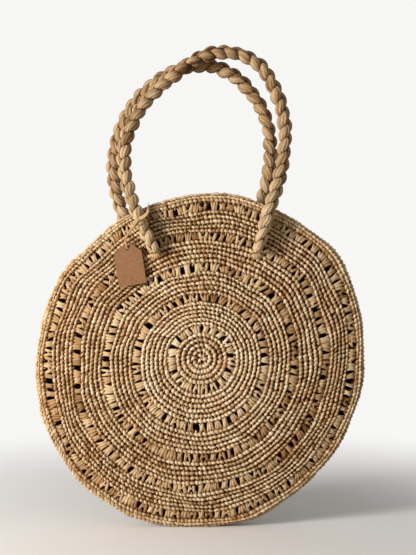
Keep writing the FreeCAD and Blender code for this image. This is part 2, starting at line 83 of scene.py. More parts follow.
def softened(points):
    across = points[:, 0]
    up = points[:, 2] - discHeight
    share = np.hypot(across, up) / edgeRadius
    angle = np.degrees(np.arctan2(across, up))

    def wave(perTurn, start, perRadius):
        return np.sin(np.radians(perTurn * angle) + start + fullTurn * perRadius * share)

    way, longer = softOutline["oval"]
    shift = longer * np.cos(np.radians(2 * (angle - way)))
    for middle, spread, height in softOutline["bulges"]:
        away = (angle - middle + 180) % 360 - 180
        shift += height * np.exp(-(away / spread) ** 2)
    shift *= share ** softOutline["sharpness"]
    for perTurn, height, start, perRadius in softOutline["ripples"]:
        shift += height * share * wave(perTurn, start, perRadius)
    dent = np.zeros(len(points))
    for perTurn, height, start, perRadius in softOutline["dents"]:
        dent += height * share * (0.5 + 0.5 * wave(perTurn, start, perRadius))
    tagAcross, tagUp, tagSpread, tagDent = softOutline["behindTag"]
    away = np.hypot(across / mm - tagAcross, up / mm - tagUp) / tagSpread
    dent += np.where(points[:, 1] < 0, tagDent * np.exp(-away ** 4), 0)
    grow = 1 + shift * mm / (edgeRadius * np.maximum(share, softOutline["leastShare"]))
    fade = np.clip(points[:, 1] / (softOutline["rimBand"] * mm), -1, 1)
    begun = np.maximum(-fade, 0) * np.exp(-(share / softOutline["middleSpread"]) ** 3) * mm
    moved = points.copy()
    moved[:, 0] = across * grow + begun * softOutline["middleShift"][0]
    moved[:, 1] = points[:, 1] - dent * mm * fade * np.abs(fade)
    moved[:, 2] = discHeight + up * grow + begun * softOutline["middleShift"][1]
    moved[:, 2] = np.maximum(moved[:, 2], softOutline["floorLift"] * mm)
    return moved


# Materials

def newMaterial(name):
    material = bpy.data.materials.new(name)
    material.use_nodes = True
    nodes = material.node_tree.nodes
    return material, nodes, material.node_tree.links, nodes["Principled BSDF"]


def addNode(nodes, kind, values=None, **settings):
    # The settings come first, because they decide which sockets a node has
    node = nodes.new("ShaderNode" + kind)
    for setting, value in settings.items():
        setattr(node, setting, value)
    for socket, value in (values or {}).items():
        node.inputs[socket].default_value = value
    return node


def linkAll(links, pairs):
    for output, socket in pairs:
        links.new(output, socket)


def colourRamp(nodes, colours):
    ramp = addNode(nodes, "ValToRGB")
    stops = ramp.color_ramp.elements
    for index, (place, colour) in enumerate(colours):
        stop = stops[index] if index < 2 else stops.new(place)      # a new ramp has two stops
        stop.position = place
        stop.color = (*colour, 1)
    return ramp


raffiaFibres = {
    "streaks": {"scale": (160, 2200, 1), "detail": 4, "weight": 0.75},      # scale along and round the strand
    "patches": {"scale": (70, 260, 1), "detail": 2, "weight": 0.55},
    "roughness": 0.6,
    "base": -0.65,
    "bumpStrength": 0.6,
    "shine": 0.12,
    "roughSpread": (0.12, -0.10),    # rougher in the grooves, smoother on the streaks
}
rosyPatches = {"scale": 38, "detail": 3, "from": 0.42, "to": 0.68}
raffiaLooks = {
    "crochet": {
        "colours": [(0.00, (0.058, 0.015, 0.002)), (0.28, (0.335, 0.181, 0.071)),
                    (0.58, (0.595, 0.437, 0.250)), (1.00, (0.850, 0.715, 0.510))],
        "rosyTint": (1.0, 0.90, 0.84),
        "roughness": 0.62,
        "bumpHeight": 0.25 * mm,
    },
    "plait": {
        "colours": [(0.00, (0.095, 0.044, 0.017)), (0.30, (0.295, 0.182, 0.090)),
                    (0.60, (0.455, 0.320, 0.182)), (1.00, (0.625, 0.475, 0.302))],
        "rosyTint": (1.0, 0.94, 0.89),
        "roughness": 0.60,
        "bumpHeight": 0.40 * mm,
    },
    "strand": {
        "colours": [(0.00, (0.230, 0.135, 0.060)), (0.35, (0.500, 0.340, 0.170)),
                    (0.65, (0.640, 0.470, 0.260)), (1.00, (0.800, 0.630, 0.390))],
        "rosyTint": (1.0, 0.90, 0.84),
        "roughness": 0.56,
        "bumpHeight": 0.20 * mm,
    },
}


def makeFibreGroup():
    # Streaks that run along a strand of raffia, and slower patches of light and dark
    group = bpy.data.node_groups.new("raffiaFibres", "ShaderNodeTree")
    for name, way, kind in (("Map", "INPUT", "Vector"), ("Tone", "INPUT", "Float"),
                            ("Shade", "OUTPUT", "Float"), ("Height", "OUTPUT", "Float")):
        group.interface.new_socket(name, in_out=way, socket_type="NodeSocket" + kind)
    nodes = group.nodes
    links = group.links
    start = nodes.new("NodeGroupInput")
    end = nodes.new("NodeGroupOutput")

    def stretchedNoise(look):
        mapping = addNode(nodes, "Mapping", {"Scale": look["scale"]})
        noise = addNode(nodes, "TexNoise", {"Scale": 1.0, "Detail": look["detail"],
                                            "Roughness": raffiaFibres["roughness"]})
        linkAll(links, [(start.outputs["Map"], mapping.inputs["Vector"]),
                        (mapping.outputs["Vector"], noise.inputs["Vector"])])
        return noise.outputs["Fac"]

    def weighted(value, weight, base):
        add = addNode(nodes, "Math", {1: weight}, operation="MULTIPLY_ADD")
        links.new(value, add.inputs[0])
        if isinstance(base, float):
            add.inputs[2].default_value = base
        else:
            links.new(base, add.inputs[2])
        return add.outputs[0]

    streaks = stretchedNoise(raffiaFibres["streaks"])
    patches = stretchedNoise(raffiaFibres["patches"])
    shade = weighted(start.outputs["Tone"], 1.0, raffiaFibres["base"])
    shade = weighted(patches, raffiaFibres["patches"]["weight"], shade)
    shade = weighted(streaks, raffiaFibres["streaks"]["weight"], shade)
    linkAll(links, [(shade, end.inputs["Shade"]), (streaks, end.inputs["Height"])])
    return group


fibreGroup = makeFibreGroup()


def raffia(kind):
    look = raffiaLooks[kind]
    rougher, smoother = raffiaFibres["roughSpread"]
    material, nodes, links, shader = newMaterial(kind + "Raffia")
    strandMap = addNode(nodes, "UVMap", uv_map="strandMap")
    tone = addNode(nodes, "Attribute", attribute_name="tone")
    fibres = addNode(nodes, "Group", node_tree=fibreGroup)
    ramp = colourRamp(nodes, look["colours"])
    # Some of the raffia is rosier than the rest
    place = addNode(nodes, "TexCoord")
    patches = addNode(nodes, "TexNoise", {"Scale": rosyPatches["scale"], "Detail": rosyPatches["detail"]})
    rosy = addNode(nodes, "MapRange", {"From Min": rosyPatches["from"], "From Max": rosyPatches["to"]})
    tint = addNode(nodes, "Mix", {"B": (*look["rosyTint"], 1)}, data_type="RGBA", blend_type="MULTIPLY")
    rough = addNode(nodes, "MapRange", {"To Min": look["roughness"] + rougher,
                                        "To Max": look["roughness"] + smoother})
    bump = addNode(nodes, "Bump", {"Strength": raffiaFibres["bumpStrength"], "Distance": look["bumpHeight"]})
    linkAll(links, [
        (strandMap.outputs["UV"], fibres.inputs["Map"]),
        (tone.outputs["Fac"], fibres.inputs["Tone"]),
        (fibres.outputs["Shade"], ramp.inputs["Fac"]),
        (place.outputs["Object"], patches.inputs["Vector"]),
        (patches.outputs["Fac"], rosy.inputs["Value"]),
        (rosy.outputs["Result"], tint.inputs["Factor"]),
        (ramp.outputs["Color"], tint.inputs["A"]),
        (tint.outputs["Result"], shader.inputs["Base Color"]),
        (fibres.outputs["Height"], rough.inputs["Value"]),
        (rough.outputs["Result"], shader.inputs["Roughness"]),
        (fibres.outputs["Height"], bump.inputs["Height"]),
        (bump.outputs["Normal"], shader.inputs["Normal"]),
    ])
    shader.inputs["Specular IOR Level"].default_value = raffiaFibres["shine"]
    return material


cardLook = {
    "pulp": {"Scale": 420, "Detail": 6},
    "cloud": {"Scale": 55, "Detail": 3},
    "cloudWeight": 0.5,
    "colours": [(0.35, (0.190, 0.085, 0.034)), (1.00, (0.315, 0.155, 0.066))],
    "bump": {"Strength": 0.35, "Distance": 0.1 * mm},
    "roughness": 0.85,
}


def kraftCard():
    material, nodes, links, shader = newMaterial("kraftCard")
    place = addNode(nodes, "TexCoord")
    pulp = addNode(nodes, "TexNoise", cardLook["pulp"])
    cloud = addNode(nodes, "TexNoise", cardLook["cloud"])
    mix = addNode(nodes, "Math", {1: cardLook["cloudWeight"]}, operation="MULTIPLY_ADD")
    ramp = colourRamp(nodes, cardLook["colours"])
    bump = addNode(nodes, "Bump", cardLook["bump"])
    linkAll(links, [
        (place.outputs["Object"], pulp.inputs["Vector"]),
        (place.outputs["Object"], cloud.inputs["Vector"]),
        (cloud.outputs["Fac"], mix.inputs[0]),
        (pulp.outputs["Fac"], mix.inputs[2]),
        (mix.outputs[0], ramp.inputs["Fac"]),
        (ramp.outputs["Color"], shader.inputs["Base Color"]),
        (pulp.outputs["Fac"], bump.inputs["Height"]),
        (bump.outputs["Normal"], shader.inputs["Normal"]),
    ])
    shader.inputs["Roughness"].default_value = cardLook["roughness"]
    return material


crochetRaffia = raffia("crochet")
plaitRaffia = raffia("plait")
strandRaffia = raffia("strand")
tagCard = kraftCard()
print("materials made")


# Meshes from arrays, for strands and for stitches copied along a round

def meshPiece(name, points, corners, starts, maps, tones):
    mesh = bpy.data.meshes.new(name)
    mesh.vertices.add(len(points))
    mesh.vertices.foreach_set("co", np.ascontiguousarray(points, np.float32).ravel())
    mesh.loops.add(len(corners))
    mesh.loops.foreach_set("vertex_index", np.ascontiguousarray(corners, np.int32))
    mesh.polygons.add(len(starts))
    mesh.polygons.foreach_set("loop_start", np.ascontiguousarray(starts, np.int32))
    mesh.update(calc_edges=True)
    for mapName, values in maps.items():
        layer = mesh.uv_layers.new(name=mapName)
        layer.uv.foreach_set("vector", np.ascontiguousarray(values, np.float32).ravel())
    tone = mesh.attributes.new("tone", "FLOAT", "POINT")
    tone.data.foreach_set("value", np.ascontiguousarray(tones, np.float32))
    mesh.validate()
    mesh.shade_smooth()
    piece = bpy.data.objects.new(name, mesh)
    bpy.context.scene.collection.objects.link(piece)
    return piece


def orderedFaces(mesh):
    # Blender's tools leave faces in an order that changes from run to run, so they are put in order here
    return sorted((list(face.vertices) for face in mesh.polygons), key=sorted)


def faceStarts(faces):
    return np.cumsum([0] + [len(face) for face in faces[:-1]])


def dress(piece, body, slotName, material, *nodes):
    piece.data.materials.clear()
    piece.data.materials.append(material)
    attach(piece, body)
    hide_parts(*nodes)


# Stitches: each leg is drawn once and then copied. A section is in mm: along, width, depth, raise, sideways.

def mirrored(sections):
    return [(along, width, depth, up, -sideways) for along, width, depth, up, sideways in sections]


plainStitch = [
    {"sides": 7, "lean": -105, "middle": (0.0, 0.35, 0.45),
     "sections": [(0, 1.6, 1.9, -1.4, 0), (1.4, 2.9, 3.1, -0.15, 0), (3.2, 3.5, 3.8, 0.4, 0),
                  (5.0, 2.9, 3.1, -0.15, 0), (6.4, 1.6, 1.9, -1.4, 0)]},
    {"sides": 4, "lean": 14, "middle": (0.2, -2.1, -0.75),
     "sections": [(0, 1.5, 1.5, -0.6, 0), (1.9, 2.1, 2.1, 0.1, 0), (3.8, 1.5, 1.5, -0.6, 0)]},
]
fanLeg = [(0, 1.5, 1.9, -1.0, 0.3), (2.9, 2.3, 2.7, 0.2, 0.0), (5.8, 2.7, 2.9, 0.5, -0.3),
          (8.7, 2.5, 2.6, 0.2, -0.2), (11.6, 1.6, 1.8, -1.0, 0.2)]
fanCluster = [
    {"sides": 6, "lean": 9, "middle": (-2.0, 0.0, -0.1), "sections": fanLeg},
    {"sides": 6, "lean": -3, "middle": (0.0, 0.0, 0.45),
     "sections": [(0, 1.5, 1.9, -1.2, 0), (2.9, 2.2, 2.7, 0.1, 0), (5.8, 2.5, 2.9, 0.4, 0),
                  (8.7, 2.3, 2.6, 0.1, 0), (11.6, 1.6, 1.8, -1.2, 0)]},
    {"sides": 6, "lean": -11, "middle": (2.0, 0.0, -0.1), "sections": mirrored(fanLeg)},
]
roundLeg = [(0, 1.4, 1.9, -1.2, 0.6), (2.9, 2.4, 2.8, 0.1, -0.5), (5.8, 2.8, 3.0, 0.4, -0.9),
            (8.7, 2.4, 2.7, 0.1, -0.6), (11.6, 1.4, 1.8, -1.2, 0.6)]
roundCluster = [
    {"sides": 6, "lean": 2, "middle": (-1.5, 0.0, 0.0), "sections": roundLeg},
    {"sides": 6, "lean": -8, "middle": (0.1, 0.2, 0.5),
     "sections": [(0, 1.3, 1.7, -1.2, 0), (2.9, 2.3, 2.6, 0.1, 0.2), (5.8, 2.6, 2.8, 0.4, 0.2),
                  (8.7, 2.2, 2.5, 0.1, 0), (11.6, 1.3, 1.7, -1.2, 0)]},
    {"sides": 6, "lean": -4, "middle": (1.6, 0.0, 0.0), "sections": mirrored(roundLeg)},
]
splitLeg = [(0, 1.8, 2.0, -1.0, 0), (2.9, 2.5, 2.8, 0.2, 0), (5.8, 2.7, 3.0, 0.5, 0),
            (8.7, 2.4, 2.7, 0.2, 0), (11.6, 1.6, 1.8, -1.0, 0)]
splitCluster = [
    {"sides": 6, "lean": 9, "middle": (-1.9, 0.0, 0.1), "sections": splitLeg},
    {"sides": 6, "lean": -9, "middle": (1.9, 0.0, 0.1), "sections": splitLeg},
    {"sides": 5, "lean": -58, "middle": (-0.2, -1.4, 1.3),
     "sections": [(0, 0.9, 0.8, -1.0, 0), (2.4, 1.6, 1.2, 0.2, 0), (4.8, 1.6, 1.2, 0.2, 0),
                  (7.2, 0.9, 0.8, -1.0, 0)]},
]
chainLeg = [(0, 1.1, 1.5, -1.0, 0), (1.9, 2.3, 2.9, 0.1, 0), (3.8, 2.6, 3.2, 0.3, 0),
            (5.7, 2.1, 2.7, 0.0, 0), (7.4, 1.0, 1.4, -1.0, 0)]
chainStitch = [
    {"sides": 6, "lean": -68, "middle": (0.0, 1.15, 0.2), "sections": chainLeg},
    {"sides": 6, "lean": -112, "middle": (0.0, -1.15, 0.2), "sections": chainLeg},
]
# Painted shade and highlight on each stitch: darker the deeper a point lies in the fabric, lighter on the top
# of the bead
hollowTone = {"perHeight": 0.20 / mm, "lowest": -0.62, "highest": 0.16}
# Shares of a leg's strip in the flat map: its sides, the gap to the next strip, and its two end caps
bakeCell = {"sideStart": 0.10, "sideEnd": 0.90, "gap": 0.04,
            "capInset": 0.04, "capAlong": 0.03, "capAround": 0.4}


def drawLeg(leg):
    sections = leg["sections"]
    first = sections[0]
    length = sections[-1][0] * mm
    bpy.ops.object.select_all(action="DESELECT")
    bpy.ops.mesh.primitive_circle_add(vertices=leg["sides"], radius=0.5, fill_type="NGON")
    part = bpy.context.object
    bpy.ops.object.mode_set(mode="EDIT")
    bpy.ops.mesh.select_all(action="SELECT")
    bpy.ops.transform.resize(value=(first[1] * mm, first[2] * mm, 1), center_override=(0, 0, 0))
    bpy.ops.transform.translate(value=(first[4] * mm, first[3] * mm, 0))
    for below, above in zip(sections, sections[1:]):
        step = ((above[4] - below[4]) * mm, (above[3] - below[3]) * mm, (above[0] - below[0]) * mm)
        bpy.ops.mesh.extrude_region_move(TRANSFORM_OT_translate={"value": step})
        bpy.ops.transform.resize(value=(above[1] / below[1], above[2] / below[2], 1),
                                 center_override=(above[4] * mm, above[3] * mm, above[0] * mm))
    bpy.ops.mesh.select_all(action="SELECT")
    bpy.ops.mesh.normals_make_consistent(inside=False)
    bpy.ops.transform.translate(value=(0, 0, -length / 2))
    bpy.ops.object.mode_set(mode="OBJECT")
    return part


def unrolled(mesh, faces, sections, strip, strips):
    # The leg laid flat: metres along and round it, and its share of the cell that each copy is given
    points = np.array([vertex.co for vertex in mesh.vertices])
    levels = np.array([section[0] for section in sections]) * mm
    length = levels[-1]
    ring = np.abs(points[:, 2:3] + length / 2 - levels[None, :]).argmin(axis=1)
    sizes = np.array([section[1:] for section in sections]) * mm
    turn = np.arctan2((points[:, 1] - sizes[ring, 2]) / sizes[ring, 1],
                      (points[:, 0] - sizes[ring, 3]) / sizes[ring, 0])
    turn = turn / fullTurn % 1
    girth = math.pi * sizes[:, :2].mean()
    gap = bakeCell["gap"]
    capInset = bakeCell["capInset"]
    strandMap = []
    bakeMap = []
    for face in faces:
        around = turn[face]
        along = levels[ring[face]] / length
        if np.ptp(along) > 0:
            around = np.where((np.ptp(around) > 0.5) & (around < 0.5), around + 1, around)
            cellAlong = bakeCell["sideStart"] + along * (bakeCell["sideEnd"] - bakeCell["sideStart"])
            cellAround = around / (1 + 1 / len(set(turn.round(4))))
        else:
            capMiddle = capInset + (1 - 2 * capInset) * along
            cellAlong = capMiddle + bakeCell["capAlong"] * np.cos(fullTurn * around)
            cellAround = 0.5 + bakeCell["capAround"] * np.sin(fullTurn * around)
        strandMap += zip(along * length, around * girth)
        bakeMap += zip(cellAlong, (strip + gap + cellAround * (1 - 2 * gap)) / strips)
    return np.array(strandMap), np.array(bakeMap)


def drawStitch(legs):
    # A stitch as arrays: x runs along the round, y outwards from the middle of the disc, z out of the fabric
    stitch = {"points": [], "corners": [], "starts": [], "strandMap": [], "bakeMap": []}
    for strip, leg in enumerate(legs):
        part = drawLeg(leg)
        faces = orderedFaces(part.data)
        strandMap, bakeMap = unrolled(part.data, faces, leg["sections"], strip, len(legs))
        part.rotation_euler = (-math.pi / 2, math.pi, math.radians(leg["lean"]))
        part.location = Vector(leg["middle"]) * mm
        bpy.ops.object.transform_apply(location=True, rotation=True, scale=True)
        firstPoint = sum(len(points) for points in stitch["points"])
        firstCorner = sum(len(corners) for corners in stitch["corners"])
        stitch["points"].append(np.array([vertex.co for vertex in part.data.vertices]))
        stitch["corners"].append(np.concatenate(faces) + firstPoint)
        stitch["starts"].append(faceStarts(faces) + firstCorner)
        stitch["strandMap"].append(strandMap)
        stitch["bakeMap"].append(bakeMap)
        bpy.data.meshes.remove(part.data)
    return {key: np.concatenate(arrays) for key, arrays in stitch.items()}


stitchShapes = {
    "plain": drawStitch(plainStitch),
    "fan": drawStitch(fanCluster),
    "rounded": drawStitch(roundCluster),
    "split": drawStitch(splitCluster),
    "chain": drawStitch(chainStitch),
}
print("stitches drawn:", {name: len(shape["starts"]) for name, shape in stitchShapes.items()}, "faces")


# Places on the bag

def onDome(radius):
    slope = radius / math.sqrt(domeRadius ** 2 - radius ** 2)
    depth = rimDepth + math.sqrt(domeRadius ** 2 - radius ** 2) - (domeRadius - domeRise)
    return depth, math.atan(slope)


def ringPlaces(radius, depth, tilt, angles, turn, sunk):
    # Places along a round. turn is 1 on the front and -1 on the back; tilt 0 faces out of the disc,
    # and a quarter turn faces out of the rim.
    sines = np.sin(angles)
    cosines = np.cos(angles)
    zeros = np.zeros_like(angles)
    along = np.stack([turn * cosines, zeros, -sines], axis=1)
    outward = np.stack([turn * math.cos(tilt) * sines, zeros + turn * math.sin(tilt),
                        math.cos(tilt) * cosines], axis=1)
    normal = np.stack([turn * math.sin(tilt) * sines, zeros - turn * math.cos(tilt),
                       math.sin(tilt) * cosines], axis=1)
    origins = np.stack([turn * radius * sines, zeros - turn * depth, discHeight + radius * cosines], axis=1)
    return origins - normal * sunk, along, outward, normal


yarn = {"stitchesPerStrand": 9, "fewestKnots": 3}


def wanderingTones(rng, count, middle, slow, quick):
    # New raffia is knotted on every nine stitches or so, so the tone drifts as well as jumping
    knots = max(yarn["fewestKnots"], count // yarn["stitchesPerStrand"])
    levels = rng.normal(middle, slow, knots)
    drift = np.interp(np.arange(count), np.linspace(0, count - 1, knots), levels)
    return drift + rng.normal(0, quick, count)


def copyStitches(name, rounds, rng, jitter):
    # Copies the stitches of several rounds into one mesh
    points, corners, starts, strandMaps, bakeMaps, tones = [], [], [], [], [], []
    total = sum(len(one["tones"]) for one in rounds)
    columns = math.ceil(math.sqrt(total))
    pointCount = 0
    cornerCount = 0
    cell = 0
    for one in rounds:
        stitch = stitchShapes[one["stitch"]]
        origins, along, outward, normal = one["places"]
        count = len(origins)
        swing = rng.normal(0, math.radians(jitter["lean"]), count)[:, None]
        turnedAlong = along * np.cos(swing) + outward * np.sin(swing)
        turnedOut = outward * np.cos(swing) - along * np.sin(swing)
        size = 1 + rng.normal(0, jitter["size"], (count, 3))
        lift = rng.normal(0, jitter["lift"] * mm, count)[:, None]
        shape = stitch["points"] * np.array(one["stretch"])
        local = shape[None, :, :] * size[:, None, :]
        places = (origins + normal * lift)[:, None, :]
        for axis, direction in enumerate((turnedAlong, turnedOut, normal)):
            places = places + local[:, :, axis:axis + 1] * direction[:, None, :]
        points.append(places.reshape(-1, 3))
        own = np.arange(count)
        corners.append((stitch["corners"][None, :] + own[:, None] * len(shape) + pointCount).ravel())
        step = len(stitch["corners"])
        starts.append((stitch["starts"][None, :] + own[:, None] * step + cornerCount).ravel())
        slide = rng.random((count, 1, 2))
        strandMaps.append((stitch["strandMap"][None, :, :] + slide).reshape(-1, 2))
        corner = np.stack([(cell + own) % columns, (cell + own) // columns], axis=1)[:, None, :]
        bakeMaps.append(((stitch["bakeMap"][None, :, :] + corner) / columns).reshape(-1, 2))
        # Painted shade low in each stitch and a painted highlight on its top
        paintedDepthShade = np.clip(shape[:, 2] * hollowTone["perHeight"], hollowTone["lowest"], hollowTone["highest"])
        tones.append((one["tones"][:, None] + paintedDepthShade[None, :]).ravel())
        pointCount += count * len(shape)
        cornerCount += count * step
        cell += count
    maps = {"strandMap": np.concatenate(strandMaps), "OFBake": np.concatenate(bakeMaps)}
    return meshPiece(name, softened(np.concatenate(points)), np.concatenate(corners),
                     np.concatenate(starts), maps, np.concatenate(tones))


# Crocheted discs

discPattern = {
    "openRadii": [33.5, 72.5, 107.0, 142.5, 175.0],     # middles of the front's openwork rounds, mm
    "backInset": 9.5,                                   # how much nearer the middle they are on the back
    "openHeight": 8.6,
    "plainRounds": {"front": [5, 6, 5, 5, 5, 1],        # before each openwork round, and after the last
                    "back": [4, 6, 5, 5, 5, 3]},
    "edgeStart": 184.4,                                 # where the plain rounds end and the shoulder begins
    "stitchPitch": 4.7,
    "clusterPitch": 9.6,
    "fewestStitches": 6,
    "fabricMiddle": 2.55,                               # from the outer face to the middle of the fabric
    "openMiddle": 2.9,
    "stitchHeight": 5.0,                                # the round height that the stitch is drawn for
    "widestStitch": 1.1,                                # against the pitch that it is drawn for
    "bandTones": [0.59, 0.59, 0.47, 0.43, 0.41, 0.40],  # of the plain rounds, from the middle outwards
    "openTones": [0.48, 0.35, 0.32, 0.32, 0.30],
    "toneSpread": (0.06, 0.12),                         # slowly along the round, and of each stitch
    "openToneSpread": (0.08, 0.08),
    "clusterKinds": ["fan", "rounded", "split"],
    "clusterStretch": {"front": [1.32, 1.37, 1.44, 1.42, 1.48],     # how wide they are, round by round
                       "back": [1.4, 1.4, 1.4, 1.4, 1.4]},
    "clusterStart": {"front": 0.5, "back": 0.0},        # in clusters from the top
    "clusterShift": 0.11,
    "spacing": {"each": 0.09, "drift": 0.5, "knots": 14},   # in stitches: of each, and slowly along
    "jitter": {"lean": 9, "size": 0.12, "lift": 0.18},
    "openJitter": {"lean": 9, "size": 0.13, "lift": 0.35},
}


def unevenSpacing(rng, count):
    spacing = discPattern["spacing"]
    knots = max(yarn["fewestKnots"], count // spacing["knots"])
    drift = rng.normal(0, spacing["drift"], knots)
    slow = np.interp(np.arange(count), np.linspace(0, count, knots + 1), np.append(drift, drift[0]))
    return slow + rng.normal(0, spacing["each"], count)


def plainRound(rng, radius, height, turn, stagger, tone):
    depth, tilt = onDome(radius * mm)
    count = max(discPattern["fewestStitches"], round(fullTurn * radius / discPattern["stitchPitch"]))
    angles = (np.arange(count) + stagger + unevenSpacing(rng, count)) * fullTurn / count
    wide = min(fullTurn * radius / count / discPattern["stitchPitch"], discPattern["widestStitch"])
    places = ringPlaces(radius * mm, depth, tilt, angles, turn, discPattern["fabricMiddle"] * mm)
    tones = wanderingTones(rng, count, tone, *discPattern["toneSpread"])
    return {"stitch": "plain", "places": places, "tones": tones,
            "stretch": (wide, height / discPattern["stitchHeight"], 1)}


def openRound(rng, radius, turn, stagger, tone, stretch):
    # The kinds of cluster are shared out at random along the round
    depth, tilt = onDome(radius * mm)
    count = round(fullTurn * radius / discPattern["clusterPitch"])
    shift = rng.normal(0, discPattern["clusterShift"], count)
    angles = (np.arange(count) + stagger + shift) * fullTurn / count * turn
    tones = wanderingTones(rng, count, tone, *discPattern["openToneSpread"])
    kinds = rng.integers(0, len(discPattern["clusterKinds"]), count)
    clusters = []
    for number, kind in enumerate(discPattern["clusterKinds"]):
        chosen = kinds == number
        places = ringPlaces(radius * mm, depth, tilt, angles[chosen], turn, discPattern["openMiddle"] * mm)
        clusters.append({"stitch": kind, "places": places, "stretch": stretch, "tones": tones[chosen]})
    return clusters


def openRadii(side):
    inset = discPattern["backInset"] if side == "back" else 0
    return [radius - inset for radius in discPattern["openRadii"]]


def bandEdges(side):
    half = discPattern["openHeight"] / 2
    inner = [0.0] + [radius + half for radius in openRadii(side)]
    outer = [radius - half for radius in openRadii(side)] + [discPattern["edgeStart"]]
    return list(zip(inner, outer))


def crochetDisc(side, seed):
    rng = np.random.default_rng(seed)
    turn = facing[side]
    node = f"{side}_panel"
    bands = zip(bandEdges(side), discPattern["plainRounds"][side], discPattern["bandTones"])
    for number, ((inner, outer), rounds, tone) in enumerate(bands, start=1):
        height = (outer - inner) / rounds
        band = [plainRound(rng, inner + (step + 0.5) * height, height, turn, rng.random(), tone)
                for step in range(rounds)]
        piece = copyStitches(f"{side}_plain_rounds_{number}", band, rng, discPattern["jitter"])
        dress(piece, "bag", "raffia_crochet", crochetRaffia, node)
    opens = []
    start = discPattern["clusterStart"][side]
    widths = discPattern["clusterStretch"][side]
    for radius, tone, wide in zip(openRadii(side), discPattern["openTones"], widths):
        opens += openRound(rng, radius, turn, start, tone, (wide, 1, 1))
    piece = copyStitches(f"{side}_openwork_rounds", opens, rng, discPattern["openJitter"])
    dress(piece, "bag", "raffia_crochet", crochetRaffia, node)
    print(side, "disc crocheted")


crochetDisc("front", 21)
crochetDisc("back", 22)

# Core of the fabric: the yarn that the stitches close over, one thin ring under each band of plain rounds;
# its near-black tone is painted shade for the gaps between the stitches. On the back it runs on under the
# openwork as a dark sheet, so that no daylight shows through the bag and the holes look shaded.

coreRing = {
    "below": 3.4 * mm,
    "thickness": 0.9 * mm,
    "steps": 96,
    "spacing": 6.0,                 # between its own rings of points
    "overlap": 0.2,                 # how far it runs on past the band
    "leastRadius": 0.6,
    # painted shade: near-black, for the gaps between stitches and the holes in the back's openwork
    "tone": -0.08,
}


def spinRing(turn, low, high):
    cuts = max(1, round((high - low) / coreRing["spacing"]))
    bpy.ops.object.select_all(action="DESELECT")
    bpy.ops.mesh.primitive_grid_add(x_subdivisions=cuts, y_subdivisions=1, size=1)
    ring = bpy.context.object
    for vertex in ring.data.vertices:
        radius = (low + (vertex.co.x + 0.5) * (high - low)) * mm
        depth = onDome(radius)[0] - coreRing["below"] + vertex.co.y * coreRing["thickness"]
        vertex.co = (turn * radius, -turn * depth, discHeight)
    bpy.ops.object.mode_set(mode="EDIT")
    bpy.ops.mesh.select_all(action="SELECT")
    bpy.ops.mesh.delete(type="ONLY_FACE")
    bpy.ops.mesh.select_all(action="SELECT")
    bpy.ops.mesh.spin(steps=coreRing["steps"], angle=fullTurn, center=(0, 0, discHeight), axis=(0, 1, 0))
    bpy.ops.mesh.select_all(action="SELECT")
    bpy.ops.mesh.normals_make_consistent(inside=False)
    bpy.ops.object.mode_set(mode="OBJECT")
    return ring


def fabricCore(side):
    bands = bandEdges(side) if side == "front" else [(0.0, discPattern["edgeStart"])]
    rings = [spinRing(facing[side], max(inner - coreRing["overlap"], coreRing["leastRadius"]),
                      outer + coreRing["overlap"]) for inner, outer in bands]
    bpy.ops.object.select_all(action="DESELECT")
    for ring in rings:
        ring.select_set(True)
    core = rings[0]
    bpy.context.view_layer.objects.active = core
    if len(rings) > 1:
        bpy.ops.object.join()
    points = softened(np.array([vertex.co for vertex in core.data.vertices]))
    faces = orderedFaces(core.data)
    bpy.data.meshes.remove(core.data)
    corners = np.concatenate(faces)
    maps = {"strandMap": np.zeros((len(corners), 2))}
    tones = np.full(len(points), coreRing["tone"])
    piece = meshPiece(f"{side}_fabric_core", points, corners, faceStarts(faces), maps, tones)
    dress(piece, "bag", "raffia_crochet", crochetRaffia, f"{side}_panel")


for side in facing:
    fabricCore(side)
print("fabric cores spun")

# Rim: shoulder rounds on each disc, the seam that joins them, and the free edges at the mouth

rim = {
    "mouthHalfAngle": 32.0,
    "pitch": 4.8,
    "shift": 0.05,                         # in stitches, of each one
    "shoulder": (186.6, 12.4, 48),         # radius, depth and tilt of the round that turns the corner
    "seamRows": [(190, 8.6, 82), (190, 3.9, 90)],
    "joinRow": (190.3, 0.0, 90),
    "edgeRow": (190, 10.4, 90),
    "sunk": 2.3 * mm,
    "stretch": (1.3, 1, 1),                # longer than the pitch, so that the edge is smooth
    "tone": 0.47,
    "toneSpread": (0.07, 0.09),
    "jitter": {"lean": 5, "size": 0.07, "lift": 0.2},
}


def rimRow(rng, stitchName, row, turn, start, end):
    radius, depth, tilt = row
    span = math.radians(end - start)
    count = round(radius * span / rim["pitch"])
    shift = rng.normal(0, rim["shift"], count)
    angles = math.radians(start) + (np.arange(count) + 0.5 + shift) * span / count
    places = ringPlaces(radius * mm, depth * mm, math.radians(tilt), angles, turn, rim["sunk"])
    tones = wanderingTones(rng, count, rim["tone"], *rim["toneSpread"])
    return {"stitch": stitchName, "places": places, "stretch": rim["stretch"], "tones": tones}


